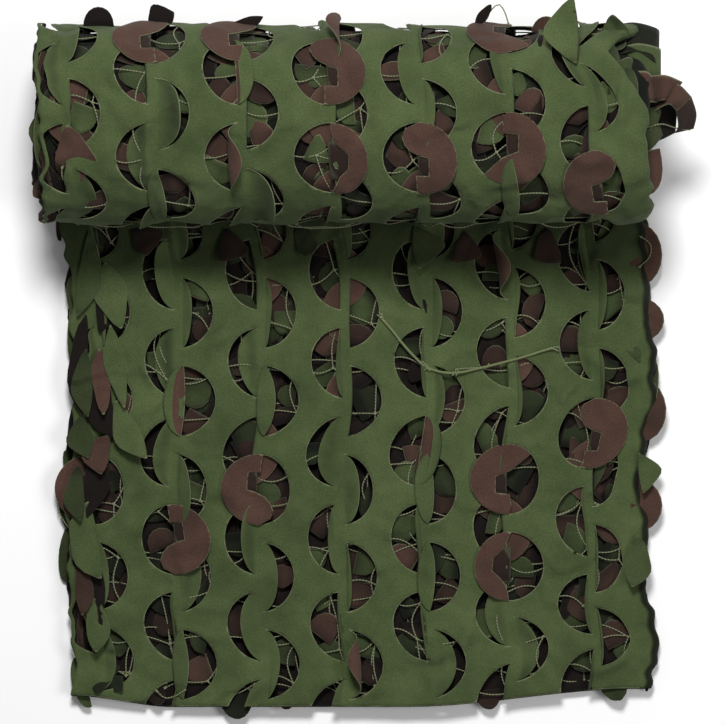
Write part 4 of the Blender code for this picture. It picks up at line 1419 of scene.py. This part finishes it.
def cloth_material(name, base, worn):
    """Matt plain-woven cloth: weave, soft creases, uneven dye and rubbed patches, darkened by the painted
    shade.
    """
    made, tree, shader = new_material(name, CLOTH_FINISH)
    if tree is None:
        return made
    flat = node(tree, "ShaderNodeUVMap", uv_map="flat").outputs["UV"]
    place = node(tree, "ShaderNodeTexCoord").outputs["Object"]
    patches = textured(tree, "ShaderNodeTexNoise", place, Scale=21.0, Detail=4.0, Roughness=0.6)
    dye = mixed(tree, ranged(tree, patches, 0.30, 0.74), base, worn)
    threads = node(tree, "ShaderNodeMapping", Scale=SLUB_SCALE)
    tree.links.new(flat, threads.inputs["Vector"])
    slubs = textured(tree, "ShaderNodeTexNoise", threads.outputs["Vector"], Scale=1.0, Detail=2.0)
    streaked = scaled(tree, dye, ranged(tree, slubs, start=0.5, end=1.5))
    frayed = mixed(tree, cut_threads(tree, flat), streaked, EDGE_THREAD)
    # Painted shade from the "inner" attribute.
    shaded = scaled(tree, frayed, painted_light_share(tree))
    tree.links.new(shaded, shader.inputs["Base Color"])
    tree.links.new(cloth_bump(tree, flat, place), shader.inputs["Normal"])
    return made


def cut_threads(tree, flat):
    """How much of the pale thread ends shows, ragged along the cloth's cut rims."""
    fray = textured(tree, "ShaderNodeTexNoise", flat, Scale=700.0, Detail=1.0)
    ragged = worked(tree, "MULTIPLY_ADD", fray, 0.35, attribute(tree, "rim"))
    return ranged(tree, ragged, 0.84, 1.12, 0.0, 0.75)


def cloth_bump(tree, flat, place):
    """The cloth's relief: weave threads over fine crumple and creases."""
    threads = [textured(tree, "ShaderNodeTexWave", flat, Scale=THREAD_SCALE, Distortion=0.6,
                        bands_direction=way, **{"Detail Scale": 0.3}) for way in ("X", "Y")]
    weave = worked(tree, "MULTIPLY", *threads)
    crumple = textured(tree, "ShaderNodeTexNoise", place, Scale=46.0, Detail=3.0, Roughness=0.5,
                       Distortion=0.4)
    crease = textured(tree, "ShaderNodeTexNoise", place, noise_type="RIDGED_MULTIFRACTAL",
                      Scale=19.0, Detail=2.0, Roughness=0.5, Distortion=0.9)
    sharp = bumped(tree, crease, Strength=0.85, Distance=0.012)
    soft = bumped(tree, crumple, sharp, Strength=0.7, Distance=0.003)
    return bumped(tree, weave, soft, Strength=0.35, Distance=0.0002)


def green_material(settings):
    """The cloth's green face."""
    return cloth_material("garnish_green", settings.green, settings.green_worn)


def brown_material(settings):
    """The cloth's brown face."""
    return cloth_material("garnish_brown", settings.brown, settings.brown_worn)


def edge_material(settings):
    """The cut edge, where the paler thread ends show, darkened by the painted shade."""
    made, tree, shader = new_material("garnish_edge", EDGE_FINISH)
    if tree is None:
        return made
    flat = node(tree, "ShaderNodeUVMap", uv_map="flat").outputs["UV"]
    fray = textured(tree, "ShaderNodeTexNoise", flat, Scale=900.0, Detail=2.0)
    ends = mixed(tree, fray, settings.green_worn, EDGE_THREAD)
    tree.links.new(scaled(tree, ends, painted_light_share(tree)), shader.inputs["Base Color"])
    return made


def twisted_material(name, light):
    """Two-ply string: light strands with painted shade in the groove between them."""
    made, tree, shader = new_material(name, STRING_FINISH)
    if tree is None:
        return made
    twist = worked(tree, "MULTIPLY_ADD", attribute(tree, "along"), 1.0 / STRING_LAY,
                   attribute(tree, "around"))
    wave = worked(tree, "SINE", worked(tree, "MULTIPLY", twist, math.tau))
    strand = ranged(tree, wave, -1.0, 0.4)
    tree.links.new(mixed(tree, strand, STRING_GROOVE_SHADE, light), shader.inputs["Base Color"])
    relief_of_strands = bumped(tree, strand, Strength=0.7, Distance=0.0004)
    tree.links.new(relief_of_strands, shader.inputs["Normal"])
    return made


# ---- the string net --------------------------------------------------------------------
# Name, ply, way out, v of the first and last row, seed and border strings.
NETS = (
    ("strings_flat", PLIES - 1, 1, 0.016, 0.52, 5, FLAT_RUNS),
    ("strings_flat_under", PLIES - 2, -1, 0.020, 0.52, 6),
    ("strings_roll", 0, -1, TAIL_LENGTH + 0.06, TURN_END - 0.05, 9, ROLL_RUNS),
)


def net_point(ply, outward, x, v, drop):
    """A place of the string net, that far behind its ply."""
    return lay(pulled(x, v, ply), v, ply_height(ply, v) + outward * (relief(x, v, ply) - drop))


def net_lines(name, ply, outward, low, high, seed, runs=()):
    """The knotted net behind one ply: points, edges and which points are knots.

    runs are loose lengths of its border string, as points in place.
    """
    chance = random.Random(seed)
    columns = spread(NET_MARGIN - PLY_WIDTH / 2, PLY_WIDTH / 2 - NET_MARGIN, STRING_MESH)
    rows = spread(low, high, STRING_ROW)
    knots = {}
    for i, x in enumerate(columns):
        for j, v in enumerate(rows):
            shift = Vector((chance.uniform(*KNOT_STRAY_X), chance.uniform(*KNOT_STRAY_V)))
            knots[i, j] = (x + shift.x, v + shift.y, chance.uniform(*KNOT_DROP))
    points, edges, marks = [], [], []

    def string(first, second):
        """Adds the string between two knots, bowed to one side and sagging a little."""
        side = chance.uniform(*STRING_BOW)
        sag = chance.uniform(*STRING_SAG)
        start = len(points)
        ahead = (second[0] - first[0], second[1] - first[1])
        for step in range(STRING_PARTS + 1):
            share = step / STRING_PARTS
            bow = math.sin(math.pi * share)
            x = first[0] + ahead[0] * share + side * bow * ahead[1] / STRING_MESH
            v = first[1] + ahead[1] * share - side * bow * ahead[0] / STRING_MESH
            drop = first[2] + (second[2] - first[2]) * share + sag * bow
            x = min(max(x, -STRING_LIMIT), STRING_LIMIT)
            points.append(net_point(ply, outward, x, v, drop))
            marks.append(1.0 if step == 0 else 0.0)
            if step:
                edges.append((start + step - 1, start + step))

    for (i, j), knot in knots.items():
        if (i + 1, j) in knots:
            string(knot, knots[i + 1, j])
        if (i, j + 1) in knots:
            string(knot, knots[i, j + 1])
    for run in runs:
        for number, place in enumerate(run):
            points.append(Vector(place) + CENTRE_SHIFT)
            marks.append(1.0 if number in (0, len(run) - 1) else 0.0)
            if number:
                edges.append((len(points) - 2, len(points) - 1))
    return line_mesh(name, points, edges, marks)


def run_lines(name, runs):
    """Lengths of string given as points in place."""
    points, edges = [], []
    for run in runs:
        edges += [(len(points) + step, len(points) + step + 1) for step in range(len(run) - 1)]
        points += run
    return line_mesh(name, points, edges, [0.0] * len(points))


def line_mesh(name, points, edges, marks):
    """Lines to be made string, with the points that are knots marked."""
    mesh = bpy.data.meshes.new(name)
    mesh.from_pydata(points, edges, [])
    mark = mesh.attributes.new("knot", "FLOAT", "POINT")
    mark.data.foreach_set("value", marks)
    return mesh


def string_nodes(material):
    """Geometry nodes that turn lines into string, and marked points into knots."""
    tree = bpy.data.node_groups.get("string_and_knots")
    if tree:
        return tree
    tree = bpy.data.node_groups.new("string_and_knots", "GeometryNodeTree")
    add_input(tree, "Lines", "NodeSocketGeometry")
    add_input(tree, "String radius", "NodeSocketFloat", STRING_RADIUS)
    add_input(tree, "Step", "NodeSocketFloat", STRING_STEP)
    add_input(tree, "Knot radius", "NodeSocketFloat", KNOT_RADIUS)
    add_input(tree, "Seed", "NodeSocketInt", KNOT_SEED)
    tree.interface.new_socket("String", in_out="OUTPUT", socket_type="NodeSocketGeometry")
    given = tree.nodes.new("NodeGroupInput").outputs
    parts = node(tree, "GeometryNodeJoinGeometry")
    tree.links.new(string_tubes(tree, given), parts.inputs["Geometry"])
    tree.links.new(knot_instances(tree, given), parts.inputs["Geometry"])
    real = node(tree, "GeometryNodeRealizeInstances")
    tree.links.new(parts.outputs["Geometry"], real.inputs["Geometry"])
    finish = node(tree, "GeometryNodeSetMaterial", Material=material)
    tree.links.new(real.outputs["Geometry"], finish.inputs["Geometry"])
    result = tree.nodes.new("NodeGroupOutput")
    tree.links.new(finish.outputs["Geometry"], result.inputs["String"])
    return tree


def add_input(tree, name, kind, default=None):
    """Gives a tree an input with that name, and its default where it has one."""
    socket = tree.interface.new_socket(name, in_out="INPUT", socket_type=kind)
    if default is not None:
        socket.default_value = default
    if kind == "NodeSocketFloat":
        socket.subtype = "DISTANCE"


def string_tubes(tree, given):
    """The lines as smooth tubes that carry how far along and around them each point lies."""
    links = tree.links
    lines = node(tree, "GeometryNodeMeshToCurve")
    links.new(given["Lines"], lines.inputs["Mesh"])
    smooth_line = node(tree, "GeometryNodeCurveSplineType", spline_type="CATMULL_ROM")
    links.new(lines.outputs["Curve"], smooth_line.inputs["Curve"])
    even = node(tree, "GeometryNodeResampleCurve", mode="LENGTH")
    links.new(smooth_line.outputs["Curve"], even.inputs["Curve"])
    links.new(given["Step"], even.inputs["Length"])
    ring = node(tree, "GeometryNodeCurvePrimitiveCircle", Resolution=6)
    links.new(given["String radius"], ring.inputs["Radius"])
    tube = node(tree, "GeometryNodeCurveToMesh", **{"Fill Caps": True})
    links.new(store_value(tree, even.outputs["Curve"], "along", "Length"), tube.inputs["Curve"])
    links.new(store_value(tree, ring.outputs["Curve"], "around", "Factor"), tube.inputs["Profile Curve"])
    shade = node(tree, "GeometryNodeSetShadeSmooth")
    links.new(tube.outputs["Mesh"], shade.inputs["Geometry"])
    return shade.outputs["Geometry"]


def knot_instances(tree, given):
    """A small uneven ball on each point that is marked as a knot, turned at random."""
    links = tree.links
    ball = node(tree, "GeometryNodeMeshIcoSphere", Subdivisions=2)
    links.new(given["Knot radius"], ball.inputs["Radius"])
    squash = node(tree, "GeometryNodeTransform", Scale=KNOT_SHAPE)
    links.new(ball.outputs["Mesh"], squash.inputs["Geometry"])
    mark = node(tree, "GeometryNodeInputNamedAttribute", data_type="FLOAT", Name="knot")
    picked = node(tree, "FunctionNodeCompare", operation="GREATER_THAN", B=0.5)
    links.new(mark.outputs["Attribute"], picked.inputs["A"])
    knots = node(tree, "GeometryNodeMeshToPoints")
    links.new(given["Lines"], knots.inputs["Mesh"])
    links.new(picked.outputs["Result"], knots.inputs["Selection"])
    turn = node(tree, "FunctionNodeRandomValue", data_type="FLOAT_VECTOR")
    turn.inputs["Max"].default_value = (math.tau, math.tau, math.tau)
    links.new(given["Seed"], turn.inputs["Seed"])
    placed = node(tree, "GeometryNodeInstanceOnPoints")
    links.new(knots.outputs["Points"], placed.inputs["Points"])
    links.new(squash.outputs["Geometry"], placed.inputs["Instance"])
    links.new(turn.outputs["Value"], placed.inputs["Rotation"])
    return placed.outputs["Instances"]


def store_value(tree, geometry, name, kind):
    """Stores how far along its spline each point lies, as a length or a share."""
    parameter = tree.nodes.new("GeometryNodeSplineParameter")
    store = node(tree, "GeometryNodeStoreNamedAttribute", data_type="FLOAT", domain="POINT", Name=name)
    tree.links.new(geometry, store.inputs["Geometry"])
    tree.links.new(parameter.outputs[kind], store.inputs["Value"])
    return store.outputs["Geometry"]


def set_inputs(modifier, values):
    """Sets a Geometry Nodes modifier's inputs, found by name, through their identifiers."""
    for socket in modifier.node_group.interface.items_tree:
        if socket.item_type == "SOCKET" and socket.in_out == "INPUT" and socket.name in values:
            modifier[socket.identifier] = values[socket.name]


def string_object(mesh, settings):
    """Lines made into string with its knots, as a piece of its own."""
    net = bpy.data.objects.new(mesh.name, mesh)
    bpy.context.collection.objects.link(net)
    modifier = net.modifiers.new("string", "NODES")
    modifier.node_group = string_nodes(twisted_material("twisted_string", settings.string_colour))
    set_inputs(modifier, {"String radius": settings.string_radius, "Step": STRING_STEP,
                          "Knot radius": settings.knot_radius, "Seed": KNOT_SEED})
    apply_modifiers(net)
    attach(net, "root")
    return net


# ---- the loose cord --------------------------------------------------------------------
def cord_point(x, y):
    """A point of the cord, lying on the flat part's top ply."""
    top = tail_height(x / TAIL_SCALE, y - TAIL_END, ply_height(PLIES - 1, 0.3)) + CLOTH / 2
    return Vector((x, y, top + CORD_CLEARANCE + CORD_DIAMETER / 2)) + CENTRE_SHIFT


def make_ties(settings):
    """The lengths of string tied round the cord."""
    runs = [[cord_point(x, y) + Vector((0.0, 0.0, up * 0.001)) for x, y, up in run] for run in CORD_TIES]
    return string_object(run_lines("cord_ties", runs), settings)


def make_cord(settings):
    """The loose cord along its route, with its ties."""
    ties = make_ties(settings)
    route = [cord_point(x, y) for x, y in CORD_ROUTE]
    curve = bpy.data.curves.new("loose_cord", "CURVE")
    curve.dimensions = "3D"
    curve.bevel_depth = CORD_DIAMETER / 2
    curve.bevel_resolution = 4
    curve.use_fill_caps = True
    curve.resolution_u = curve.render_resolution_u = 6
    spline = curve.splines.new("BEZIER")
    spline.bezier_points.add(len(route) - 1)
    for point, place in zip(spline.bezier_points, route):
        point.co = place
        point.handle_left_type = point.handle_right_type = "AUTO"
    curve.materials.append(twisted_material("cord_string", settings.cord_colour))
    cord = bpy.data.objects.new("loose_cord", curve)
    bpy.context.collection.objects.link(cord)
    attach(cord, "root")
    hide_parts("tie_cord")
    length = sum((b - a).length for a, b in zip(route, route[1:]))
    tuple(route[0])


# ---- camera, light and floor -----------------------------------------------------------
def make_camera(settings):
    """Straight above, with the roll towards the view's top."""
    data = bpy.data.cameras.new("camera")
    data.sensor_width = SENSOR * 1000.0
    data.lens = 1000.0 * SENSOR * settings.camera_height / (VIEW * PIXEL)
    camera = bpy.data.objects.new("camera", data)
    bpy.context.collection.objects.link(camera)
    x = (VIEW / 2 - VIEW_X) * PIXEL + CENTRE_SHIFT.x
    y = (VIEW_Y - VIEW / 2) * PIXEL + CENTRE_SHIFT.y
    camera.location = (x, y, settings.camera_height)
    bpy.context.scene.camera = camera


def make_light(name, location, size, power):
    """A round soft light that faces the net."""
    data = bpy.data.lights.new(name, "AREA")
    data.shape = "DISK"
    data.size = size
    data.energy = power
    lamp = bpy.data.objects.new(name, data)
    bpy.context.collection.objects.link(lamp)
    lamp.location = location
    lamp.rotation_euler = (-Vector(location)).to_track_quat("-Z", "Y").to_euler()


def make_lights(settings):
    """The even white surroundings, a key light over the roll and a weaker one at the right."""
    world = bpy.data.worlds.new("studio")
    world.use_nodes = True
    world.node_tree.nodes["Background"].inputs["Color"].default_value = (1.0, 1.0, 1.0, 1.0)
    world.node_tree.nodes["Background"].inputs["Strength"].default_value = settings.fill_light
    bpy.context.scene.world = world
    bpy.context.scene.view_settings.view_transform = "Standard"
    make_light("key", KEY_PLACE, KEY_SIZE, settings.key_light)
    make_light("side", SIDE_PLACE, SIDE_SIZE, SIDE_SHARE * settings.key_light)


def make_floor():
    """The wide pale floor that the net lies on."""
    mesh = bpy.data.meshes.new("floor")
    reach = FLOOR_REACH
    mesh.from_pydata([(-reach, -reach, 0), (reach, -reach, 0), (reach, reach, 0), (-reach, reach, 0)],
                     [], [(0, 1, 2, 3)])
    mesh.materials.append(new_material("floor_pale", FLOOR_FINISH)[0])
    floor = bpy.data.objects.new("floor", mesh)
    floor.location.z = -FLOOR_DROP
    bpy.context.collection.objects.link(floor)


# ---- settings and operators ------------------------------------------------------------
def size_property(name, description, default, low, high):
    """A size in metres that a user can change."""
    return FloatProperty(name=name, description=description, default=default, min=low, max=high,
                         precision=5, subtype="DISTANCE", unit="LENGTH")


def colour_property(name, description, default):
    """A linear colour that a user can change."""
    return FloatVectorProperty(name=name, description=description, default=default, size=4,
                               min=0.0, max=1.0, subtype="COLOR")


class NetSettings(bpy.types.PropertyGroup):
    """Sizes, colours and light that can be changed before the net is made"""

    cloth_thickness: size_property("Cloth thickness", "Thickness of the garnish cloth",
                                   0.0007, 0.0003, 0.002)
    fine_step: size_property("Outer mesh step", "Distance between points of the cloth that shows",
                             0.0038, 0.002, 0.02)
    coarse_step: size_property("Hidden mesh step", "Distance between points of the hidden plies",
                               0.0085, 0.004, 0.05)
    string_radius: size_property("String radius", "Radius of the string net's string",
                                 STRING_RADIUS, 0.0002, 0.002)
    knot_radius: size_property("Knot radius", "Radius of the string net's knots",
                               KNOT_RADIUS, 0.0005, 0.005)
    camera_height: size_property("Camera height", "Height of the camera above the floor",
                                 CAMERA_HEIGHT, 1.0, 20.0)
    green: colour_property("Green", "Colour of the cloth's green face", GREEN)
    green_worn: colour_property("Rubbed green", "Colour of the green face where it is rubbed",
                                GREEN_WORN)
    brown: colour_property("Brown", "Colour of the cloth's brown face", BROWN)
    brown_worn: colour_property("Rubbed brown", "Colour of the brown face where it is rubbed",
                                BROWN_WORN)
    string_colour: colour_property("String", "Colour of the string net's light strands", STRING)
    cord_colour: colour_property("Cord", "Colour of the loose cord's light strands", CORD_COLOUR)
    key_light: FloatProperty(name="Key light", description="Power of the light over the roll",
                             default=75.0, min=0.0, max=1000.0, unit="POWER")
    fill_light: FloatProperty(name="Fill light", description="Strength of the white surroundings",
                              default=0.21, min=0.0, max=10.0)


def settings_of(context):
    """The net's settings in the scene."""
    return context.scene.camouflage_net


def roll_leaves(sheet):
    """The loose leaves at the roll's ends and along its top."""
    side_leaves(sheet, TAIL_LENGTH + 0.12, TURN_END - 0.09, (1, 2), -1, 22)
    free_leaves(sheet, ROLL_LEAVES)
    for lines, face, shade in ROLL_STRIPS:
        strip(sheet, lines, face, shade)


def tail_leaves(sheet):
    """The loose leaves along the flat part's sides and free end."""
    side_leaves(sheet, 0.01, 0.49, (1, 2), 1, 21)
    free_leaves(sheet, TAIL_LEAVES)


def make_flat_top(settings):
    """The flat part's top ply, with the fold before it and the loose leaves round it."""
    top = PLIES - 1
    fold = [TOP_FOLD + FOLD_LENGTH * share for share in (0.0, 0.25, 0.5, 0.75)]
    mesh = cloth_mesh("garnish_flat_top", fold + fold_lines(top, settings.fine_step),
                      spread(0.0, ROLL_START, settings.fine_step), outer_cuts("flat"), 1,
                      Openings(None, FLAT_SHADE), extras=tail_leaves)
    cloth = cloth_object(mesh, settings)
    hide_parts("net_cloth")


def make_hidden(name, lines, part, low, high, outward, shades, settings):
    """Three plies that show only through the holes of the outer one, with the scraps there."""
    cuts = [cut for ply in (1, 2) for cut in hidden_cuts(ply, low, high, outward)]
    outer = outer_cuts(part)
    mesh = cloth_mesh(name, lines, spread(low, high, settings.coarse_step), cuts, outward,
                      Openings(outer, shades), 0.004, lambda sheet: backing_leaves(sheet, outer))
    cloth = cloth_object(mesh, settings)


def make_flat_under(settings):
    """The three plies under the flat part's top ply."""
    lines = [u for ply in range(PLIES - 1) for u in fold_lines(ply, settings.coarse_step)]
    lines = [u for u in lines if u <= TOP_FOLD + MERGE_DISTANCE]
    make_hidden("garnish_flat_under", lines, "flat", 0.0, ROLL_START, 1, FLAT_SHADE, settings)


def make_roll_outer(settings):
    """The roll's outermost ply for one turn, with the loose leaves round it."""
    mesh = cloth_mesh("garnish_roll_outer", fold_lines(0, settings.fine_step),
                      spread(ROLL_START, TURN_END, settings.fine_step), outer_cuts("roll"), -1,
                      Openings(None, ROLL_SHADE), extras=roll_leaves)
    cloth = cloth_object(mesh, settings)


def make_roll_under(settings):
    """The three plies inside the roll's outermost one."""
    lines = [u for ply in range(1, PLIES) for u in fold_lines(ply, settings.coarse_step)]
    make_hidden("garnish_roll_under", lines, "roll", ROLL_START, TURN_END, -1, ROLL_SHADE, settings)


def make_roll_core(settings):
    """The turns further in, of all the plies and their folds."""
    lines = [u for ply in range(PLIES) for u in fold_lines(ply, CORE_STEP_U)]
    # The turns further in are painted in full shade.
    mesh = cloth_mesh("garnish_roll_core", lines, spread(TURN_END, SHEET_LENGTH, CORE_STEP_V), [], -1,
                      Openings(None, (1.0,) * PLIES))
    core = cloth_object(mesh, settings)


class NET_OT_flat_cloth(bpy.types.Operator):
    """Make the flat part's four plies"""

    bl_idname = "net.flat_cloth"
    bl_label = "Flat cloth"

    def execute(self, context):
        """Makes the top ply, then the three plies under it."""
        make_flat_top(settings_of(context))
        make_flat_under(settings_of(context))
        return {"FINISHED"}


class NET_OT_rolled_cloth(bpy.types.Operator):
    """Make the roll's outer turn and the plies inside it"""

    bl_idname = "net.rolled_cloth"
    bl_label = "Rolled cloth"

    def execute(self, context):
        """Makes the outermost ply, the plies inside that turn and the turns further in."""
        make_roll_outer(settings_of(context))
        make_roll_under(settings_of(context))
        make_roll_core(settings_of(context))
        return {"FINISHED"}


class NET_OT_strings(bpy.types.Operator):
    """Make the knotted string net behind the cloth"""

    bl_idname = "net.strings"
    bl_label = "String net"

    def execute(self, context):
        """Makes one piece of string net behind each ply that shows it."""
        for net in NETS:
            string_object(net_lines(*net), settings_of(context))
        return {"FINISHED"}


class NET_OT_cord(bpy.types.Operator):
    """Make the loose cord on the flat part"""

    bl_idname = "net.cord"
    bl_label = "Loose cord"

    def execute(self, context):
        """Makes the cord and the string tied round it."""
        make_cord(settings_of(context))
        return {"FINISHED"}


class NET_OT_stage(bpy.types.Operator):
    """Make the camera, the lights and the floor"""

    bl_idname = "net.stage"
    bl_label = "Stage"

    def execute(self, context):
        """Makes the camera, then the floor and the lights."""
        settings = settings_of(context)
        make_camera(settings)
        make_floor()
        make_lights(settings)
        return {"FINISHED"}


class NET_PT_panel(bpy.types.Panel):
    """The net's settings and steps"""

    bl_idname = "NET_PT_panel"
    bl_label = "Camouflage net"
    bl_space_type = "VIEW_3D"
    bl_region_type = "UI"
    bl_category = "Camouflage net"

    def draw(self, context):
        """Lists the settings, then one button for each step."""
        settings = settings_of(context)
        for name in NetSettings.__annotations__:
            self.layout.prop(settings, name)
        for operator in OPERATORS:
            self.layout.operator(operator.bl_idname)


OPERATORS = (NET_OT_stage, NET_OT_cord, NET_OT_flat_cloth, NET_OT_rolled_cloth, NET_OT_strings)
CLASSES = (NetSettings, *OPERATORS, NET_PT_panel)


def register():
    """Adds the settings, operators and panel to Blender."""
    for item in CLASSES:
        bpy.utils.register_class(item)
    bpy.types.Scene.camouflage_net = PointerProperty(type=NetSettings)


def unregister():
    """Takes them out again."""
    del bpy.types.Scene.camouflage_net
    for item in reversed(CLASSES):
        bpy.utils.unregister_class(item)


def main():
    """Makes the whole net."""
    register()
    bpy.ops.net.stage()
    bpy.ops.net.cord()
    bpy.ops.net.flat_cloth()
    bpy.ops.net.rolled_cloth()
    bpy.ops.net.strings()


if __name__ == "__main__":
    main()
